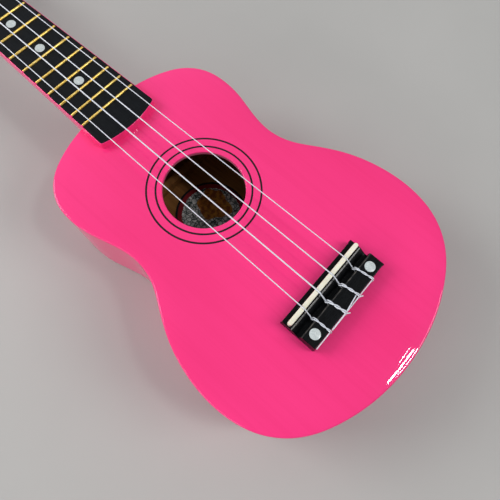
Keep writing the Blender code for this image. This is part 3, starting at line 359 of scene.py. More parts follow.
def weighted_normals(item):
    """Keep flat faces flat-looking beside rounded edges."""
    modifier = item.modifiers.new("flat_faces_stay_flat", "WEIGHTED_NORMAL")
    modifier.keep_sharp = True
    modifier.weight = 100


def dress(node, material, bevel_width):
    """Keep a CAD node's shape, with its edges eased and a material of its own."""
    item = NODES[node]
    item.data.materials.clear()
    item.data.materials.append(material)
    modifier = item.modifiers.new("soft_edges", "BEVEL")
    modifier.width = bevel_width
    modifier.segments = 2
    modifier.limit_method = "ANGLE"
    modifier.angle_limit = BEVEL_ANGLE
    modifier.harden_normals = True


def combine(item, operation, mesh):
    """Add a mesh to a piece's shape or take it away, and keep the result as its mesh."""
    tool = add_object("tool", mesh)
    modifier = item.modifiers.new("combine", "BOOLEAN")
    modifier.operation = operation
    modifier.solver = "EXACT"
    modifier.object = tool
    bpy.context.view_layer.update()
    graph = bpy.context.evaluated_depsgraph_get()
    made = bpy.data.meshes.new_from_object(item.evaluated_get(graph))
    item.modifiers.clear()
    item.data = made
    bpy.data.objects.remove(tool, do_unlink=True)


def union(first, second, smooth_angle=SMOOTH_ANGLE):
    """The two meshes joined into one solid."""
    item = add_object("union", first)
    combine(item, "UNION", second)
    made = item.data
    bpy.data.objects.remove(item, do_unlink=True)
    smooth(made, smooth_angle)
    return made


def cut(item, cutters, smooth_angle=SMOOTH_ANGLE):
    for mesh in cutters:
        combine(item, "DIFFERENCE", mesh)
    smooth(item.data, smooth_angle)


def closed_spline(knots, count):
    """Evenly spaced points on the smooth closed curve through the knots."""
    knots = np.asarray(knots, float)
    ahead = np.roll(knots, -1, axis=0)
    lengths = np.linalg.norm(ahead - knots, axis=1)
    before = np.roll(lengths, 1)
    system = np.diag(2 * (before + lengths))
    size = len(knots)
    for i in range(size):
        system[i, (i + 1) % size] += lengths[i]
        system[i, (i - 1) % size] += before[i]
    slopes = (ahead - knots) / lengths[:, None]
    bends = np.linalg.solve(system, 6 * (slopes - np.roll(slopes, 1, axis=0)))
    next_bends = np.roll(bends, -1, axis=0)
    dense = []
    for t in np.linspace(0, 1, num=24, endpoint=False):
        s = 1 - t
        curved = (s ** 3 - s) * bends + (t ** 3 - t) * next_bends
        dense.append(s * knots + t * ahead + curved * (lengths ** 2)[:, None] / 6)
    dense = np.stack(dense, axis=1).reshape(-1, 2)
    dense = np.vstack([dense, dense[:1]])
    travelled = np.r_[0, np.cumsum(np.linalg.norm(np.diff(dense, axis=0), axis=1))]
    wanted = np.linspace(0, travelled[-1], count, endpoint=False)
    return np.stack([np.interp(wanted, travelled, dense[:, k]) for k in (0, 1)], axis=1)


def smooth_route(points, steps):
    """Points of the Catmull-Rom curve through a route."""
    points = [Vector(p) for p in points]
    padded = [2 * points[0] - points[1]] + points + [2 * points[-1] - points[-2]]
    route = []
    for a, b, c, d in zip(padded, padded[1:], padded[2:], padded[3:]):
        for k in range(steps):
            t = k / steps
            bend = (2 * a - 5 * b + 4 * c - d) * t ** 2 + (3 * b - a - 3 * c + d) * t ** 3
            route.append(b + ((c - a) * t + bend) / 2)
    return route + [points[-1]]


def inset(loop, distance):
    """The closed loop moved inwards by a distance; the loop runs anticlockwise."""
    tangent = np.roll(loop, -1, axis=0) - np.roll(loop, 1, axis=0)
    tangent /= np.linalg.norm(tangent, axis=1)[:, None]
    inwards = np.stack([-tangent[:, 1], tangent[:, 0]], axis=1)
    return loop + inwards * distance


def at_height(loop, z):
    return [(x, y, z) for x, y in loop]


def stack(loop, steps):
    """Rings made from a loop, one for each (distance inwards, height)."""
    return [at_height(inset(loop, distance), z) for distance, z in steps]


def arc(start, end, steps):
    """(cosine, sine) pairs at equal steps of an angle, both ends included."""
    angles = np.linspace(start, end, steps + 1)
    return np.stack([np.cos(angles), np.sin(angles)], axis=1)


def circle(radius, sides, centre=(0.0, 0.0)):
    return np.array(centre) + radius * arc(0, TURN, sides)[:-1]


def rounded_edge(radius, top, steps):
    """(distance inwards, height) pairs around a rounded edge, from its side to its top."""
    return [(radius * (1 - x), top - radius * (1 - y)) for x, y in arc(0, TURN / 4, steps)]


def turned(profile, sides, centre=(0.0, 0.0), closed=False):
    """A round mesh about a Z axis from (radius, z) pairs."""
    rings = [at_height(circle(radius, sides, centre), z) for radius, z in profile]
    return loft(rings, closed=closed)


def drill(place, radius, reach, sides):
    """A round cutter along a frame's Z axis, reaching equally far both ways."""
    mesh = turned([(radius, -reach), (radius, reach)], sides)
    mesh.transform(place)
    return mesh


def tube(points, radius):
    """A round tube along the points, without twist, with rounded ends."""
    points = [Vector(p) for p in points]
    last = len(points) - 1
    headings = [(points[min(i + 1, last)] - points[max(i - 1, 0)]).normalized()
                for i in range(len(points))]
    across = headings[0].orthogonal().normalized()
    rings = []
    for place, heading in zip(points, headings):
        across = (across - heading * across.dot(heading)).normalized()
        up = heading.cross(across)
        rings.append([place + across * x + up * y for x, y in circle(radius, STRING_SIDES)])

    def tip(i, sign):
        shift = headings[i] * sign * radius
        return [points[i] + (point - points[i] + shift) * TUBE_TIP_SHARE for point in rings[i]]

    return loft([tip(0, -1)] + rings + [tip(last, 1)], smooth_angle=60)


def cad_loop(node, z):
    """The outline of a CAD node at one height, from its tail end, anticlockwise."""
    points = np.array([v.co[:] for v in NODES[node].data.vertices])
    at_level = np.abs(points[:, 2] - z) < SAME_LEVEL
    level = np.unique(points[at_level][:, :2].round(7), axis=0)
    middle = (level.min(axis=0) + level.max(axis=0)) / 2
    angle = np.arctan2(level[:, 1] - middle[1], level[:, 0] - middle[0])
    order = np.argsort((angle + TURN / 4 + LOOP_START_MARGIN) % TURN)
    return level[order]


# ---- material helpers
def new_material(name, settings):
    """A material with constants set on its shader, and its node tree and shader."""
    item = bpy.data.materials.new(name)
    item.use_nodes = True
    shader = item.node_tree.nodes["Principled BSDF"]
    for key, value in settings.items():
        shader.inputs[key].default_value = value
    return item, item.node_tree, shader


def connect(tree, item, links):
    for key, source in links.items():
        tree.links.new(source, item.inputs[key])


def add_node(tree, kind, settings=None, values=None, links=None):
    """A node with its settings, its sockets' values, and the sockets linked into it."""
    item = tree.nodes.new(kind)
    for key, value in (settings or {}).items():
        setattr(item, key, value)
    for key, value in (values or {}).items():
        item.inputs[key].default_value = value
    connect(tree, item, links or {})
    return item


def object_coords(tree, scale=(1, 1, 1)):
    """Positions in the CAD frame, stretched by a scale for each axis."""
    coords = add_node(tree, "ShaderNodeTexCoord")
    return add_node(tree, "ShaderNodeMapping", values={"Scale": scale},
                    links={"Vector": coords.outputs["Object"]}).outputs["Vector"]


def pattern(tree, scale, detail=3.0, roughness=0.55, distortion=0.0):
    """Noise, finer along an axis with a larger scale."""
    values = {"Scale": 1.0, "Detail": detail, "Roughness": roughness, "Distortion": distortion}
    return add_node(tree, "ShaderNodeTexNoise", values=values,
                    links={"Vector": object_coords(tree, scale)}).outputs["Fac"]


def ramp(tree, source, stops):
    """A colour ramp; stops are (position, colour) with RGB colours."""
    item = add_node(tree, "ShaderNodeValToRGB", links={"Fac": source})
    elements = item.color_ramp.elements
    while len(elements) < len(stops):
        elements.new(0.5)
    for element, (position, colour) in zip(elements, stops):
        element.position = position
        element.color = (*colour, 1.0)
    return item.outputs["Color"]


def remap(tree, source, low, high, from_low=0.3, from_high=0.7):
    """The source's range stretched to another range."""
    values = {"From Min": from_low, "From Max": from_high, "To Min": low, "To Max": high}
    return add_node(tree, "ShaderNodeMapRange", values=values,
                    links={"Value": source}).outputs["Result"]


MIX_INPUTS = (0, 6, 7)  # a colour mix's factor and two colours
MIX_OUTPUT = 2


def set_or_link(tree, socket, value):
    """Give a socket a number, an RGB colour or another node's output."""
    if isinstance(value, bpy.types.NodeSocket):
        tree.links.new(value, socket)
    elif isinstance(value, (int, float)):
        socket.default_value = value
    else:
        socket.default_value = (*value, 1.0)


def mix(tree, factor, first, second):
    item = add_node(tree, "ShaderNodeMix", settings={"data_type": "RGBA"})
    for index, value in zip(MIX_INPUTS, (factor, first, second)):
        set_or_link(tree, item.inputs[index], value)
    return item.outputs[MIX_OUTPUT]


def math_node(tree, operation, first, second):
    item = add_node(tree, "ShaderNodeMath", settings={"operation": operation})
    set_or_link(tree, item.inputs[0], first)
    set_or_link(tree, item.inputs[1], second)
    return item.outputs[0]


def wander(tree, distance, scale, detail, amount):
    """A distance made uneven by a noise, so that what it draws has a ragged edge."""
    noise = pattern(tree, scale, detail)
    shift = math_node(tree, "MULTIPLY", math_node(tree, "SUBTRACT", noise, 0.5), amount)
    return math_node(tree, "ADD", distance, shift)


def distance_from(tree, coords, place):
    item = add_node(tree, "ShaderNodeVectorMath", settings={"operation": "DISTANCE"},
                    links={0: coords})
    item.inputs[1].default_value = place
    return item.outputs["Value"]


def bump(tree, height, distance, normal=None):
    links = {"Height": height}
    if normal is not None:
        links["Normal"] = normal
    return add_node(tree, "ShaderNodeBump", values={"Distance": distance, "Strength": 1.0},
                    links=links).outputs["Normal"]


# ---- materials
def pink_lacquer():
    """Gloss paint that lets the lengthwise grain of the wood show faintly."""
    item, tree, shader = new_material(
        "pink_lacquer", {"Roughness": 0.30, "Coat Weight": 0.8, "Coat Roughness": 0.015,
                         "Coat IOR": 1.45, "Specular IOR Level": 0.03})
    grain = pattern(tree, (420, 9, 60), 4.0, 0.6)
    drift = pattern(tree, (16, 7, 16), 1.0)
    fine = pattern(tree, (900, 900, 900), 1.0)
    tone = mix(tree, remap(tree, drift, 0.0, 1.0), (0.86, 0.032, 0.192), (0.93, 0.042, 0.226))
    streaks = remap(tree, grain, 0.0, 0.12, 0.45, 0.75)
    skin = bump(tree, fine, 0.0000004, normal=bump(tree, grain, 0.000006))
    connect(tree, shader, {"Base Color": mix(tree, streaks, tone, (0.70, 0.010, 0.105)),
                           "Normal": bump(tree, grain, 0.00005), "Coat Normal": skin})
    return item


def bare_wood():
    """Unpainted plywood and softwood inside the body."""
    item, tree, shader = new_material("bare_wood", {"Roughness": 0.78, "Specular IOR Level": 0.25})
    grain = pattern(tree, (260, 22, 260), 6.0, 0.65, 0.4)
    broad = pattern(tree, (24, 10, 24), 2.0)
    colour = ramp(tree, grain, [(0.30, (0.19, 0.070, 0.016)), (0.52, (0.36, 0.150, 0.038)),
                                (0.74, (0.48, 0.225, 0.062))])
    stained = mix(tree, remap(tree, broad, 0.0, 0.55), colour, (0.17, 0.075, 0.022))
    connect(tree, shader, {"Base Color": stained, "Normal": bump(tree, grain, 0.00012)})
    return item


def board_black():
    """Stained fingerboard wood with fine lengthwise pores and a little dust."""
    item, tree, shader = new_material("board_black", {"Specular IOR Level": 0.10})
    pores = pattern(tree, (2600, 160, 900), 3.0, 0.7)
    specks = pattern(tree, (1500, 1500, 1500), 1.0)
    colour = ramp(tree, pores, [(0.35, (0.0030, 0.0036, 0.0046)), (0.70, (0.0085, 0.0100, 0.0125))])
    dust = remap(tree, specks, 0.0, 0.12, 0.60, 0.80)
    connect(tree, shader, {"Base Color": mix(tree, dust, colour, (0.045, 0.048, 0.052)),
                           "Roughness": remap(tree, pores, 0.42, 0.58),
                           "Normal": bump(tree, pores, 0.00003)})
    return item


def label_print():
    """A round paper label: a border, a ring and a mottled field with a warm patch."""
    item, tree, shader = new_material("label_print", {"Roughness": 0.7, "Specular IOR Level": 0.3})
    coords = object_coords(tree)
    from_centre = distance_from(tree, coords, (*LABEL_CENTRE, LABEL_TOP))
    share = math_node(tree, "DIVIDE", from_centre, LABEL_RADIUS)
    petals = add_node(tree, "ShaderNodeTexVoronoi", settings={"feature": "DISTANCE_TO_EDGE"},
                      values={"Scale": 340.0}, links={"Vector": coords})
    lines = remap(tree, petals.outputs["Distance"], 0.0, 1.0, 0.02, 0.12)
    cloud = pattern(tree, (300, 300, 300), 4.0)
    leaf = ramp(tree, cloud, [(0.36, (0.32, 0.34, 0.34)), (0.62, (0.92, 0.90, 0.87))])
    field = mix(tree, lines, (0.035, 0.055, 0.052), leaf)
    from_patch = distance_from(tree, coords, (*LABEL_PATCH_CENTRE, LABEL_TOP))
    patch = wander(tree, math_node(tree, "MULTIPLY", from_patch, 62.0), (95, 95, 95), 1.0, 0.9)
    warm = ramp(tree, cloud, [(0.40, (0.30, 0.075, 0.012)), (0.62, (0.62, 0.26, 0.030))])
    field = mix(tree, ramp(tree, patch, [(0.70, WHITE), (0.74, BLACK)]), field, warm)
    ring = ramp(tree, wander(tree, share, (420, 420, 420), 3.0, 0.09),
                [(0.815, BLACK), (0.825, WHITE)])
    field = mix(tree, ring, field, (0.30, 0.012, 0.022))
    border = ramp(tree, share, [(0.935, BLACK), (0.945, WHITE)])
    connect(tree, shader, {"Base Color": mix(tree, border, field, (0.010, 0.009, 0.009))})
    return item


def patterned(name, settings, colour_noise, stops, rough_noise=None, rough_range=None,
              relief=None):
    """A material whose colour follows one noise and whose roughness may follow another.

    relief is (which noise, depth), for a bump from one of the two.
    """
    item, tree, shader = new_material(name, settings)
    noises = {"colour": pattern(tree, *colour_noise)}
    connect(tree, shader, {"Base Color": ramp(tree, noises["colour"], stops)})
    if rough_noise:
        noises["rough"] = pattern(tree, *rough_noise)
        connect(tree, shader, {"Roughness": remap(tree, noises["rough"], *rough_range)})
    if relief:
        source, depth = relief
        connect(tree, shader, {"Normal": bump(tree, noises[source], depth)})
    return item


BLACK = (0, 0, 0)
WHITE = (1, 1, 1)
PINK = pink_lacquer()
WOOD = bare_wood()
BOARD_BLACK = board_black()
LABEL = label_print()

# The sound hole's wall, with thin overspray over the plies.
RAW_EDGE = patterned("raw_edge", {"Roughness": 0.6}, ((60, 60, 2600), 2.0),
                     [(0.35, (0.34, 0.055, 0.11)), (0.65, (0.50, 0.10, 0.17))])

# The bridge's moulded plastic with fine scuffs, and a painted highlight: a lighter, glossier colour
# on two of its edges that stands in for the light they catch.
BLACK_PLASTIC = patterned(
    "black_plastic", {"Specular IOR Level": 0.12}, ((220, 1800, 1800), 4.0, 0.7),
    [(0.40, (0.0016, 0.0019, 0.0024)), (0.78, (0.0065, 0.0075, 0.0090))],
    ((1900, 1900, 1900), 2.0), (0.24, 0.42), ("rough", 0.000012))
PAINTED_HIGHLIGHT_EDGE = patterned(
    "painted_highlight_edge", {"Roughness": 0.30, "Specular IOR Level": 0.5}, ((330, 900, 900), 4.0, 0.75),
    [(0.44, (0.008, 0.008, 0.009)), (0.60, (0.085, 0.075, 0.065))])

# Brass fret wire, rubbed bright on the crown with dull spots.
BRASS = patterned(
    "fret_brass", {"Metallic": 1.0}, ((520, 900, 900), 3.0, 0.7),
    [(0.28, (0.40, 0.22, 0.03)), (0.42, (1.00, 0.66, 0.14)), (0.70, (1.00, 0.80, 0.30))],
    ((90, 1400, 400), 2.0), (0.32, 0.50), ("colour", 0.00001))

# The saddle and the nut, with the fine marks of a saw.
IVORY = patterned(
    "ivory_plastic", {"Subsurface Weight": 0.15, "Subsurface Scale": 0.0012,
                      "Subsurface Radius": (1.0, 0.8, 0.5)},
    ((90, 260, 260), 3.0), [(0.30, (0.70, 0.66, 0.52)), (0.70, (0.83, 0.80, 0.68))],
    ((2400, 300, 2400), 2.0), (0.30, 0.42), ("rough", 0.000008))

# White-grey inlay with a slight pearl mottling.
DOT = patterned(
    "dot_plastic", {"Roughness": 0.33, "Coat Weight": 0.3, "Coat Roughness": 0.1},
    ((900, 900, 900), 3.0, 0.55, 1.2), [(0.35, (0.42, 0.47, 0.48)), (0.65, (0.60, 0.64, 0.63))])

# Clear nylon, cloudy at this thickness.
NYLON = patterned(
    "nylon", {"Roughness": 0.22, "IOR": 1.53, "Transmission Weight": 0.25},
    ((700, 120, 700), 2.0), [(0.35, (0.78, 0.81, 0.90)), (0.65, (0.88, 0.90, 0.97))])

# Nickel plate with soft drawn lines and a little tarnish.
NICKEL = patterned(
    "nickel", {"Metallic": 1.0}, ((180, 180, 180), 3.0),
    [(0.30, (0.46, 0.44, 0.40)), (0.60, (0.70, 0.69, 0.66))],
    ((300, 2200, 700), 3.0), (0.16, 0.32), ("rough", 0.000004))

# Moulded tuner buttons with a pearly swirl.
CREAM = patterned(
    "cream_plastic", {"Roughness": 0.25, "Coat Weight": 0.4, "Coat Roughness": 0.08,
                      "Subsurface Weight": 0.1, "Subsurface Scale": 0.001},
    ((260, 160, 260), 3.0, 0.55, 1.8), [(0.30, (0.70, 0.68, 0.62)), (0.70, (0.88, 0.87, 0.83))])

# The matt black rings around the sound hole.
INK = patterned(
    "ring_ink", {"Roughness": 0.45, "Specular IOR Level": 0.25}, ((1200, 1200, 1200), 2.0),
    [(0.40, (0.004, 0.003, 0.004)), (0.75, (0.020, 0.012, 0.016))])

FLOOR_PAINT = patterned(
    "floor_paint", {"Roughness": 0.75, "Specular IOR Level": 0.25}, ((6, 6, 6), 4.0),
    [(0.30, (0.405, 0.400, 0.385)), (0.70, (0.430, 0.423, 0.408))])


# ---- body
OUTLINE = closed_spline(cad_loop("back_plate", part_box("back_plate")[1].z), OUTLINE_COUNT)


def make_top():
    """The soundboard: rounded rim, flat field and an eased sound hole."""
    steps = [(0.0, TOP_SEAM)] + rounded_edge(EDGE_RADIUS, BODY_TOP - ROLL_DROP, steps=8)
    for k in range(1, ROLL_STEPS + 1):
        share = k / ROLL_STEPS
        steps.append((EDGE_RADIUS + ROLL_WIDTH * share, BODY_TOP - ROLL_DROP * (1 - share) ** 2))
    hole_edge = HOLE_RADIUS + HOLE_EDGE_RADIUS
    hole_steps = [(hole_edge + HOLE_FLAT_BAND, BODY_TOP)]
    for distance, z in reversed(rounded_edge(HOLE_EDGE_RADIUS, BODY_TOP, steps=4)):
        hole_steps.append((HOLE_RADIUS + distance, z))
    hole_steps.append((HOLE_RADIUS, TOP_SEAM))
    angles = np.arctan2(OUTLINE[:, 1] - HOLE_CENTRE[1], OUTLINE[:, 0])
    towards_rim = np.stack([np.cos(angles), np.sin(angles)], axis=1)
    rings = stack(OUTLINE, steps)
    rings += [at_height(np.array(HOLE_CENTRE) + towards_rim * radius, z)
              for radius, z in hole_steps]
    mesh = loft(rings, closed=True)
    top = piece("top_skin", mesh, [PINK, WOOD, RAW_EDGE], replaces=["soundboard"])

    def on_hole_wall(face):
        from_hole = math.hypot(face.center.x, face.center.y - HOLE_CENTRE[1])
        return (face.center.z < BODY_TOP - HOLE_EDGE_RADIUS and from_hole < hole_edge
                and abs(face.normal.z) < HALF)

    paint_faces(mesh, WOOD, lambda face: face.normal.z < -HALF)
    paint_faces(mesh, RAW_EDGE, on_hole_wall)
    weighted_normals(top)


def make_back():
    """The back, with the same rounded rim, lying on its flat outer face."""
    steps = [(distance, -z) for distance, z in rounded_edge(EDGE_RADIUS, 0.0, steps=8)]
    mesh = loft(stack(OUTLINE, steps[::-1] + [(0.0, BACK_SEAM)]))
    back = piece("back_skin", mesh, [PINK, WOOD], replaces=["back_plate"])
    paint_faces(mesh, WOOD, lambda face: face.normal.z > HALF)
    weighted_normals(back)


def make_sides():
    """Two bent sides that meet at the tail and under the heel."""
    inner = inset(OUTLINE, SIDE_THICKNESS)
    for side, name in ((1, "side_treble"), (-1, "side_bass")):
        rings = []
        for k in range(OUTLINE_COUNT // 2 + 1):
            corners = ((OUTLINE[k], BACK_SEAM), (OUTLINE[k], TOP_SEAM), (inner[k], TOP_SEAM),
                       (inner[k], BACK_SEAM))
            rings.append([(side * max(x, SIDE_JOINT_GAP), y, z) for (x, y), z in corners])
        mesh = loft(rings)
        piece(f"{name}_skin", mesh, [PINK, WOOD], replaces=[name])
        walls = len(rings[0])
        paint_faces(mesh, WOOD, lambda face: face.index % walls == SIDE_INNER_WALL)


def make_rosette():
    """Two thin black rings let into the soundboard around the sound hole."""
    for name, radius in RING_RADII.items():
        profile = [(radius + across, BODY_TOP + z) for across, z in RING_SECTION]
        ring = turned(profile, sides=192, centre=HOLE_CENTRE, closed=True)
        piece(f"rosette_{name}", ring, [INK])


def make_label():
    """The paper disc on the back, seen through the sound hole."""
    profile = [(LABEL_RADIUS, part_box("label")[0].z), (LABEL_RADIUS, LABEL_TOP - LABEL_EDGE),
               (LABEL_RADIUS - LABEL_EDGE, LABEL_TOP)]
    mesh = turned(profile, sides=96, centre=LABEL_CENTRE)
    piece("label_disc", mesh, [LABEL], replaces=["label"])


# ---- neck
BOARD_LOOP = cad_loop("fretboard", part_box("fretboard")[0].z)
BOARD_END = BOARD_LOOP[np.argmax(BOARD_LOOP[:, 0])]
BOARD_TAPER = (BOARD_END[0] - NUT_HALF_WIDTH) / (NUT_Y - BOARD_END[1])


def neck_depth(y):
    """How far the neck hangs below its glued face: a slow taper, then the heel's curve."""
    share = min(1.0, (NUT_Y - y) / (NUT_Y - HEEL_START_Y))
    depth = NECK_DEPTHS[0] + share * (NECK_DEPTHS[1] - NECK_DEPTHS[0])
    if y < HEEL_START_Y:
        heel = (HEEL_START_Y - y) / (HEEL_START_Y - NECK_END_Y)
        depth += HEEL_DROP * min(1.0, heel) ** HEEL_CURVE
    return depth


def fuller(height):
    """An arc's height, as a share, raised at its shoulders so that the arc is fuller."""
    return max(0.0, height) ** OVAL_POWER


def neck_section(y):
    """Half an oval hanging from the glued face; the deep heel narrows to its foot."""
    depth = neck_depth(y)
    half_width = NUT_HALF_WIDTH + BOARD_TAPER * (NUT_Y - y)
    past_bend = max(0.0, y - BEND_Y)
    sink = min(past_bend * BEND_SINK_SLOPE, BEND_SINK)
    top = BODY_TOP - past_bend * math.tan(HEADSTOCK_ANGLE) - sink
    narrow = max(0.0, (depth - NECK_DEPTHS[1]) / HEEL_DROP)
    narrowing = narrow * (1 - HEEL_FOOT_HALF_WIDTH / half_width)
    return [(half_width * across * (1 - narrowing * down), y, top - depth * fuller(down))
            for across, down in arc(0, TURN / 2, steps=32)]


def headstock_mesh():
    """The tilted slab: eased edges, and a scooped start that blends into the neck."""
    other_side = [(-x, y) for x, y in reversed(HEADSTOCK_STATIONS[1:-1])]
    loop = closed_spline(HEADSTOCK_STATIONS + other_side, count=160)
    edge = rounded_edge(HEADSTOCK_EDGE_RADIUS, 0.0, steps=5)
    wall = HEADSTOCK_THICKNESS - 2 * HEADSTOCK_EDGE_RADIUS
    layers = edge[::-1]
    layers += [(0.0, -HEADSTOCK_EDGE_RADIUS - wall * k / HEADSTOCK_LAYERS)
               for k in range(1, HEADSTOCK_LAYERS)]
    layers += [(distance, -z - HEADSTOCK_THICKNESS) for distance, z in edge]
    place = Matrix.Translation(HEADSTOCK_ORIGIN) @ HEADSTOCK_TILT
    rings = []
    for distance, z in layers:
        start = SCOOP_START + SCOOP_LENGTH * (-z / HEADSTOCK_THICKNESS) ** SCOOP_POWER
        rings.append([place @ Vector((x, max(y, start), z)) for x, y in inset(loop, distance)])
    return loft(rings)


def tuner_frame(index):
    """Where a tuner sits: its origin on the headstock's face, its Z axis along the post."""
    offset = Matrix.Translation((*TUNER_PLACES[index], 0))
    return Matrix.Translation(HEADSTOCK_ORIGIN) @ HEADSTOCK_TILT @ offset


def make_neck():
    ys = [*np.linspace(NECK_START_Y, HEEL_START_Y, num=26), *SHAFT_YS, *BEND_YS]
    shaft = loft([neck_section(y) for y in ys])
    neck = piece("neck_skin", union(shaft, headstock_mesh()), [PINK],
                 replaces=["neck"])
    body = loft(stack(OUTLINE, [(-BODY_CUT_GAP, z) for z in BODY_CUT_HEIGHTS]))
    holes = [drill(tuner_frame(i), radius=0.0045, reach=0.03, sides=32)
             for i in range(len(STRINGS))]
    cut(neck, [body] + holes)
    weighted_normals(neck)


def board_outline():
    """The fingerboard from above, anticlockwise, with its bowed end and corners smoothed."""
    at_nut = BOARD_LOOP[:, 1] > NUT_Y - BOARD_END_LEAD
    bass_corner = np.argmin(np.where(at_nut, BOARD_LOOP[:, 0], 1.0))
    loop = [Vector((x, y, 0)) for x, y in np.roll(BOARD_LOOP, -bass_corner, axis=0)]
    nut_bass, *end, nut_treble = loop
    lead_in = end[0] + (nut_bass - end[0]).normalized() * BOARD_END_LEAD
    lead_out = end[-1] + (nut_treble - end[-1]).normalized() * BOARD_END_LEAD
    route = smooth_route([lead_in, *end, lead_out], steps=4)
    return np.array([(p.x, p.y) for p in [nut_bass, *route, nut_treble]])


def make_fingerboard():
    """Black playing face, with the paint of the neck carried up its edges."""
    steps = [(0.0, BODY_TOP)] + rounded_edge(BOARD_EDGE_RADIUS, BOARD_TOP, steps=4)
    steps += [(distance, BOARD_TOP) for distance in BOARD_FLAT_INSETS]
    mesh = loft(stack(board_outline(), steps))
    board = piece("fingerboard", mesh, [PINK, BOARD_BLACK], replaces=["fretboard"])
    paint_faces(mesh, BOARD_BLACK, lambda face: face.center.z > BOARD_TOP - SAME_LEVEL
                and face.normal.z > UPWARDS)
    weighted_normals(board)


def make_frets():
    """Crowns with filed ends, and the paint that caught on their bass ends."""
    for number in range(1, FRET_COUNT + 1):
        node = f"fret_{number:02d}"
        low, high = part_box(node)
        middle_y = (low.y + high.y) / 2
        bass_end = low.x - FRET_BASS_OVERHANG
        treble_end = high.x - FRET_TREBLE_SETBACK
        stations = [(bass_end + distance, share) for distance, share in FRET_END]
        stations += [(treble_end - distance, share) for distance, share in reversed(FRET_END)]
        rings = []
        for x, share in stations:
            half_width = FRET_HALF_WIDTH * (1 - FRET_END_TAPER * (1 - share))
            height = (FRET_HEIGHT + FRET_ROOT) * share
            rings.append([(x, middle_y + half_width * along,
                           BOARD_TOP - FRET_ROOT + height * fuller(up))
                          for along, up in arc(0, TURN / 2, steps=12)])
        crown = loft(rings)
        piece(f"crown_{node}", crown, [BRASS, PINK], replaces=[node])
        painted_x = bass_end + FRET_END[-1][0]
        paint_faces(crown, PINK, lambda face: face.center.x < painted_x)


def make_dot(name, node, top, sizes):
    """A round inlay with a slightly domed, polished face."""
    low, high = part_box(node)
    centre = ((low.x + high.x) / 2, (low.y + high.y) / 2)
    radius = sizes["radius"]
    rim = top + sizes["proud"]
    profile = [(radius, rim - DOT_DEPTH), (radius, rim)]
    profile += [(radius * share, rim + sizes["dome"] * (1 - share ** 2))
                for share in DOT_DOME_SHARES]
    piece(name, turned(profile, sides=40, centre=centre), [DOT], replaces=[node])


def make_dots():
    for number in INLAY_FRETS:
        make_dot(f"inlay_{number:02d}", f"position_dot_{number:02d}", BOARD_TOP, INLAY)
    for side in ("bass", "treble"):
        node = f"bridge_dot_{side}"
        make_dot(f"cap_{side}", node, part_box(node)[1].z, CAP)


# ---- bridge
def rounded_section(corners, radii, steps=4):
    """A closed outline whose corners are rounded, each by its own radius."""
    points = []
    for i, corner in enumerate(corners):
        here = Vector(corner)
        before = (Vector(corners[i - 1]) - here).normalized() * radii[i]
        after = (Vector(corners[(i + 1) % len(corners)]) - here).normalized() * radii[i]
        for t in np.linspace(0, 1, steps + 1):
            points.append(here + before * (1 - t) ** 2 + after * t ** 2)
    return np.array(points)


def make_bridge():
    """One section along the whole bridge, with four holes drilled through its tie block, and a
    painted highlight on two of its edges.
    """
    section = rounded_section(BRIDGE_SECTION, BRIDGE_CORNER_RADII)[::-1]
    rings = []
    for distance, z in rounded_edge(BRIDGE_END_BEVEL, BRIDGE_HALF_LENGTH, steps=3)[::-1]:
        rings.append([(-z, y, BODY_TOP + height) for y, height in inset(section, distance)])
    rings += [[(-x, y, z) for x, y, z in ring] for ring in reversed(rings)]
    block = piece("bridge_block", loft(rings), [BLACK_PLASTIC, PAINTED_HIGHLIGHT_EDGE],
                  replaces=["bridge"])
    holes = []
    for x in STRING_X_AT_SADDLE:
        middle = Matrix.Translation((x, TIE_HOLE_MIDDLE_Y, BODY_TOP + TIE_HOLE_HEIGHT))
        place = middle @ Matrix.Rotation(TURN / 4, 4, "X")
        holes.append(drill(place, radius=0.0009, reach=0.0155, sides=20))
    cut(block, holes)

    # Faces near these two edges get the lighter colour of the painted highlight.
    def on_painted_highlight_edge(face):
        return any(math.hypot(face.center.y - y, face.center.z - BODY_TOP - z) < PAINTED_HIGHLIGHT_REACH
                   for y, z in PAINTED_HIGHLIGHT_EDGES)

    paint_faces(block.data, PAINTED_HIGHLIGHT_EDGE, on_painted_highlight_edge)
    weighted_normals(block)


def make_saddle():
    """A blade with round ends and an eased top."""
    end = SADDLE_RADIUS * arc(-TURN / 4, TURN / 4, steps=10)
    end[:, 0] += SADDLE_HALF_LENGTH - SADDLE_RADIUS
    outline = np.vstack([end, -end]) + (0.0, SADDLE_Y)
    steps = [(0.0, SADDLE_FOOT)] + rounded_edge(SADDLE_EDGE_RADIUS, SADDLE_TOP, steps=5)
    mesh = loft(stack(outline, steps))
    weighted_normals(piece("saddle_blade", mesh, [IVORY], replaces=["saddle"]))


# ---- strings
def inner_side(index):
    """Which way along X a tuner's string runs from its post: towards the middle."""
    return 1 if TUNER_PLACES[index][0] < 0 else -1


def coil_points(index, radius):
    """The turns around a post, from where the string first meets it."""
    place = tuner_frame(index)
    reach = POST_RADIUS + COIL_GAP + radius
    turns = arc(0, TURN * COIL_TURNS, steps=63)
    heights = np.linspace(COIL_START_HEIGHT, COIL_START_HEIGHT + COIL_PITCH * COIL_TURNS, len(turns))
    return [place @ Vector((inner_side(index) * reach * x, reach * y, z))
            for (x, y), z in zip(turns, heights)]


def twisted_strand(x, radius, lean, strand):
    """One of the two strands that wind once around each other over the tie block."""
    twist = radius + TIE_STRAND_GAP
    rear = BLOCK_REAR_Y + TIE_MARGIN
    front = BLOCK_FRONT_Y - TIE_MARGIN
    return [(x + lean * (1 - k / TIE_STEPS) + strand * twist * across,
             rear + (front - rear) * k / TIE_STEPS,
             BLOCK_TOP + 2 * twist + strand * twist * up)
            for k, (across, up) in enumerate(arc(0, TURN, TIE_STEPS))]


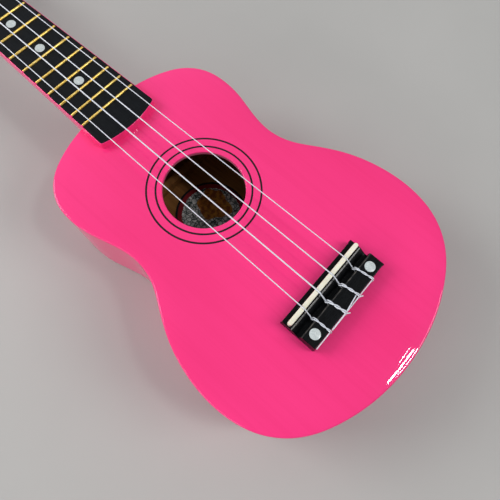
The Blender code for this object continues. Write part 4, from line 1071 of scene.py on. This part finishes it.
def tie_points(index, x, radius):
    """Through the tie block, back over it, around itself in front, and along the rear."""
    lean = TIE_LEANS[index]
    twist = radius + TIE_STRAND_GAP
    hole_z = BODY_TOP + TIE_HOLE_HEIGHT
    riser_x = x + lean + twist
    route = [(x, y, BODY_TOP + height) for y, height in TIE_ENTRY]
    route += [(x, y, hole_z) for y in TIE_HOLE_YS]
    route += [(x + (riser_x - x) * share, BLOCK_REAR_Y + back, hole_z + height)
              for share, back, height in TIE_RISER]
    route.append((riser_x, TIE_RISER_TOP_Y, BLOCK_TOP + twist))
    route += twisted_strand(x, radius, lean, 1)

    y, height = TIE_FRONT_MIDDLE
    down, up = [[(x + side * (twist + out), along, BODY_TOP + rise)
                 for out, along, rise in TIE_FRONT_SIDE] for side in (1, -1)]
    route += down + [(x, y, BODY_TOP + height)] + up[::-1]
    route += twisted_strand(x, radius, lean, -1)[::-1]

    return_x = x + lean - twist
    tail_y = BLOCK_REAR_Y - radius - TAIL_GAP
    tail_z = BODY_TOP + TAIL_HEIGHT
    route.append((return_x + TIE_OVER[0], BLOCK_REAR_Y + TIE_OVER[1],
                  BLOCK_TOP + radius + TIE_OVER[2]))
    route.append((return_x - TAIL_START, tail_y, tail_z))
    return route + [(x - share * TAIL_LENGTHS[index], tail_y, tail_z) for share in TAIL_SHARES]


def make_strings():
    """From the coil on the post, over the nut and the saddle, to the knot at the bridge."""
    for i, name in enumerate(STRINGS):
        radius = STRING_RADII[i]
        lift = radius + STRING_LIFT
        x = STRING_X_AT_SADDLE[i]
        over_nut = [(STRING_X_AT_NUT[i], NUT_Y + y, NUT_SLOT_FLOOR + lift + z)
                    for y, z in NUT_OVERRUN]
        over_saddle = [(x, SADDLE_Y + y, SADDLE_TOP + lift * share + z)
                       for y, share, z in SADDLE_CREST]
        tie = tie_points(i, x, radius)
        lead = Vector(tie[0]).lerp(Vector(over_saddle[-1]), TIE_LEAD_SHARE)
        route = coil_points(i, radius)[::-1] + over_nut
        route += smooth_route(over_saddle, steps=3)[:-1]
        route += smooth_route([lead] + tie, steps=5)
        piece(f"strand_{name}", tube(route, radius), [NYLON], replaces=[f"string_{name}"])


def make_loose_ends():
    """A spare end laid across the block, and the cut ends behind the two middle knots."""
    top = BLOCK_TOP + LOOSE_END_RADIUS + LOOSE_END_GAP
    for name, points in LOOSE_ENDS.items():
        route = []
        for string, dx, dy, dz in points:
            i = STRINGS.index(string)
            knot = STRING_X_AT_SADDLE[i] + TIE_LEANS[i]
            route.append((knot + dx, BLOCK_REAR_Y + dy, top + dz))
        piece(name, tube(smooth_route(route, steps=5), LOOSE_END_RADIUS), [NYLON])


def make_string_ends():
    """The string's end that comes through the post's hole; it turns with the post."""
    for i, name in enumerate(STRINGS):
        route = [(inner_side(i) * x, y, POST_HOLE_HEIGHT + z) for x, y, z in POST_END_ROUTE]
        mesh = tube(smooth_route(route, steps=6), STRING_RADII[i])
        piece(f"string_end_{name}", mesh, [NYLON], body=f"post_{name}",
              matrix=tuner_frame(i))


# ---- tuners
def gear_ring(twist, tip_drop):
    """The toothed outline, its tips cut down by tip_drop."""
    half_tooth = GEAR_TOOTH_SHARE * WORM_PITCH / 2
    tip_half = half_tooth - GEAR_ADDENDUM * FLANK_SLOPE
    root_half = half_tooth + GEAR_DEDENDUM * FLANK_SLOPE
    tip = GEAR_RADIUS + GEAR_ADDENDUM - tip_drop
    root = GEAR_RADIUS - GEAR_DEDENDUM
    ease_down, ease_out = GEAR_TIP_EASE
    flank = [(root, root_half), (tip - ease_down, tip_half + ease_out),
             (tip, tip_half * GEAR_TIP_FLAT)]
    corners = [(radius, -across) for radius, across in flank] + flank[::-1]
    loop = []
    for tooth in range(GEAR_TEETH):
        middle = TURN * (tooth / GEAR_TEETH - 1 / 4) + twist
        for radius, across in corners:
            angle = middle + across / radius
            loop.append((radius * math.cos(angle), radius * math.sin(angle)))
    return loop


def make_gear():
    """The worm wheel, its teeth twisted to the worm's lead."""
    lead = WORM_PITCH / (TURN * WORM_RADIUS)
    half = GEAR_THICKNESS / 2
    rings = []
    for z, drop in ((-half, GEAR_CHAMFER), (-half + GEAR_CHAMFER, 0.0),
                    (half - GEAR_CHAMFER, 0.0), (half, GEAR_CHAMFER)):
        rings.append(at_height(gear_ring(z * lead / GEAR_RADIUS, drop), GEAR_MIDDLE + z))
    return loft(rings)


def worm_reach(angle, x):
    """The worm's radius: one thread whose valley is at x = 0 on the gear's side."""
    fade = min(1.0, max(0.0, (WORM_HALF_LENGTH - abs(x)) / (WORM_PITCH * WORM_FADE_TURNS)))
    phase = (x / WORM_PITCH - angle / TURN) % 1.0
    from_crest = abs(phase - HALF) * WORM_PITCH
    half_thread = WORM_THREAD_SHARE * WORM_PITCH / 2
    tip_half = half_thread - GEAR_ADDENDUM * FLANK_SLOPE
    root_half = half_thread + GEAR_DEDENDUM * FLANK_SLOPE
    share = min(1.0, max(0.0, (root_half - from_crest) / (root_half - tip_half)))
    reach = WORM_RADIUS - GEAR_DEDENDUM + share * (GEAR_ADDENDUM + GEAR_DEDENDUM)
    return SHAFT_RADIUS + fade * (reach - SHAFT_RADIUS)


def shaft_ring(x, radius=None):
    """A ring of the shaft: round with a radius given, or the worm's section."""
    ring = []
    for k in range(WORM_SIDES):
        angle = TURN * k / WORM_SIDES
        reach = worm_reach(angle, x) if radius is None else radius
        ring.append((x, reach * math.cos(angle), reach * math.sin(angle)))
    return ring


def collar_rings(side):
    """A collar with eased corners, from its face by the tab outwards."""
    profile = [(0.0, SHAFT_RADIUS), (0.0, COLLAR_RADIUS - COLLAR_EASE),
               (COLLAR_EASE, COLLAR_RADIUS), (COLLAR_LENGTH - COLLAR_EASE, COLLAR_RADIUS),
               (COLLAR_LENGTH, COLLAR_RADIUS - COLLAR_EASE)]
    return [shaft_ring(side * (COLLAR_START + x), radius) for x, radius in profile]


def make_shaft_mesh():
    steps = round(2 * WORM_HALF_LENGTH / WORM_STEP)
    rings = collar_rings(-1)[::-1]
    rings += [shaft_ring(-WORM_HALF_LENGTH + k * WORM_STEP) for k in range(steps + 1)]
    rings += collar_rings(1)
    rings += [shaft_ring(x, SHAFT_RADIUS) for x in (COLLAR_START + COLLAR_LENGTH, SHAFT_END_X)]
    return loft(rings, smooth_angle=METAL_SMOOTH_ANGLE)


def make_button_mesh():
    """An oval button on a short round hub."""
    profile = list(BUTTON_HUB)
    hub_end, hub_width, hub_thickness = BUTTON_HUB[-1]
    for k in range(1, BUTTON_SWELL_STEPS):
        share = k / BUTTON_SWELL_STEPS
        swell = share * share * (3 - 2 * share)
        profile.append((hub_end + (BUTTON_BELLY - hub_end) * share,
                        hub_width + (BUTTON_HALF_WIDTH - hub_width) * swell,
                        hub_thickness + (BUTTON_HALF_THICKNESS - hub_thickness) * swell))
    for across, along in arc(0, TURN / 4, steps=15)[:-1]:
        shrink = across ** BUTTON_END_POWER
        profile.append((BUTTON_BELLY + (BUTTON_LENGTH - BUTTON_BELLY) * along,
                        BUTTON_HALF_WIDTH * shrink, BUTTON_HALF_THICKNESS * shrink))
    rings = [[(BUTTON_START_X + x, half_width * y, half_thickness * z)
              for y, z in circle(1.0, sides=40)] for x, half_width, half_thickness in profile]
    return loft(rings, smooth_angle=50)


def make_post_mesh():
    bottom = GEAR_MIDDLE - GEAR_THICKNESS / 2 - POST_FOOT_GAP
    profile = [(radius, bottom + z) for radius, z in POST_FOOT]
    profile += [(POST_RADIUS - depth, POST_HOLE_HEIGHT + z) for depth, z in POST_GROOVE]
    profile += [(POST_RADIUS - distance, z)
                for distance, z in rounded_edge(POST_TIP_RADIUS, POST_TOP, steps=4)]
    profile += [(radius, POST_TOP + z) for radius, z in POST_DIMPLE]
    return turned(profile, sides=48)


def screw_mesh():
    """A small domed wood screw's head with a slot."""
    profile = [(SCREW_RADIUS, SCREW_ROOT), (SCREW_RADIUS, SCREW_RIM)]
    profile += [(SCREW_RADIUS * x, SCREW_RIM + SCREW_DOME * y)
                for x, y in arc(0, TURN / 4, steps=8)[1:-1]]
    bm = bmesh.new()
    bm.from_mesh(turned(profile, sides=28))
    for vertex in bm.verts:
        if abs(vertex.co.x) < SLOT_HALF_WIDTH and vertex.co.z > SLOT_LOWEST:
            vertex.co.z -= SLOT_DEPTH
    return finish_mesh(bm, smooth_angle=30)


def make_tuner(index, name):
    """The plate with its screws, the post with its gear, the bush, the worm and the button."""
    place = tuner_frame(index)
    dress(f"tuner_plate_{name}", NICKEL, bevel_width=0.00018)
    face_down = Matrix.Rotation(TURN / 2, 4, "X")
    for number, y in enumerate(SCREW_YS, 1):
        spin = Matrix.Rotation(SCREW_TURNS[0] * number + SCREW_TURNS[1] * index, 4, "Z")
        piece(f"screw_{name}_{number}", screw_mesh(), [NICKEL],
              matrix=place @ Matrix.Translation((0, y, PLATE_BOTTOM)) @ face_down @ spin)

    post = piece(f"capstan_{name}", union(make_post_mesh(), make_gear(), METAL_SMOOTH_ANGLE),
                 [NICKEL], body=f"post_{name}", replaces=[f"string_post_{name}"],
                 matrix=place)
    across = Matrix.Translation((0, 0, POST_HOLE_HEIGHT)) @ Matrix.Rotation(TURN / 4, 4, "Y")
    hole = drill(place @ across, radius=0.0008, reach=0.01, sides=16)
    cut(post, [hole], METAL_SMOOTH_ANGLE)
    piece(f"bush_{name}", turned(BUSH_PROFILE, sides=48, closed=True), [NICKEL],
          replaces=[f"ferrule_{name}"], matrix=place)

    outwards = Matrix.Rotation(TURN / 2 if inner_side(index) > 0 else 0, 4, "Y")
    axle = place @ Matrix.Translation((0, WORM_Y, GEAR_MIDDLE)) @ outwards
    piece(f"worm_{name}", make_shaft_mesh(), [NICKEL], body=f"worm_{name}",
          replaces=[f"worm_shaft_{name}"], matrix=axle)
    piece(f"button_{name}", make_button_mesh(), [CREAM], body=f"worm_{name}",
          replaces=[f"tuner_button_{name}"], matrix=axle)


# ---- stage
def make_camera():
    data = bpy.data.cameras.new("camera")
    for key, value in CAMERA_SETTINGS.items():
        setattr(data, key, value)
    camera = add_object("camera", data)
    camera.location = CAMERA_PLACE
    camera.rotation_euler = [math.radians(angle) for angle in CAMERA_DEGREES]
    bpy.context.scene.camera = camera


def make_floor():
    bm = bmesh.new()
    bmesh.ops.create_grid(bm, x_segments=2, y_segments=2, size=3.0)
    mesh = finish_mesh(bm)
    mesh.materials.append(FLOOR_PAINT)
    floor = add_object("floor", mesh)
    floor.location = FLOOR_PLACE


def make_world():
    """A dim studio, a little brighter over the head end."""
    world = bpy.data.worlds.new("studio")
    world.use_nodes = True
    tree = world.node_tree
    background = tree.nodes["Background"]
    background.inputs["Color"].default_value = STUDIO_COLOUR
    coords = add_node(tree, "ShaderNodeTexCoord")
    split = add_node(tree, "ShaderNodeSeparateXYZ", links={"Vector": coords.outputs["Generated"]})
    glow = remap(tree, split.outputs["Y"], *STUDIO_STRENGTH, *STUDIO_STRENGTH_SPAN)
    connect(tree, background, {"Strength": glow})
    bpy.context.scene.world = world


def add_light(name, place, target, size, power):
    data = bpy.data.lights.new(name, "AREA")
    data.shape = "RECTANGLE"
    data.size, data.size_y = size
    data.energy = power
    light = add_object(name, data)
    light.location = place
    aim = Vector(target) - Vector(place)
    light.rotation_euler = aim.to_track_quat("-Z", "Y").to_euler()


def make_lights():
    """Soft light from three sides, and a window whose slats show in the gloss by the tail."""
    for name, place, size, power in SOFT_LIGHTS:
        add_light(name, place, LIGHT_TARGET, size, power)
    for name, place, size in WINDOW_SLATS:
        below = (place[0], *LIGHT_TARGET[1:])
        add_light(f"window_{name}", place, below, size, WINDOW_EMISSION * size[0] * size[1])
    bpy.context.scene.view_settings.view_transform = "Standard"


make_camera()
make_floor()
make_world()
make_lights()
make_top()
make_back()
make_sides()
make_rosette()
make_label()
for inside_node in INSIDE_NODES:
    dress(inside_node, WOOD, bevel_width=0.0004)
make_neck()
make_fingerboard()
make_frets()
make_dots()
dress("nut", IVORY, bevel_width=0.00015)
make_bridge()
make_saddle()
make_strings()
make_loose_ends()
make_string_ends()
for tuner_index, tuner_name in enumerate(STRINGS):
    make_tuner(tuner_index, tuner_name)
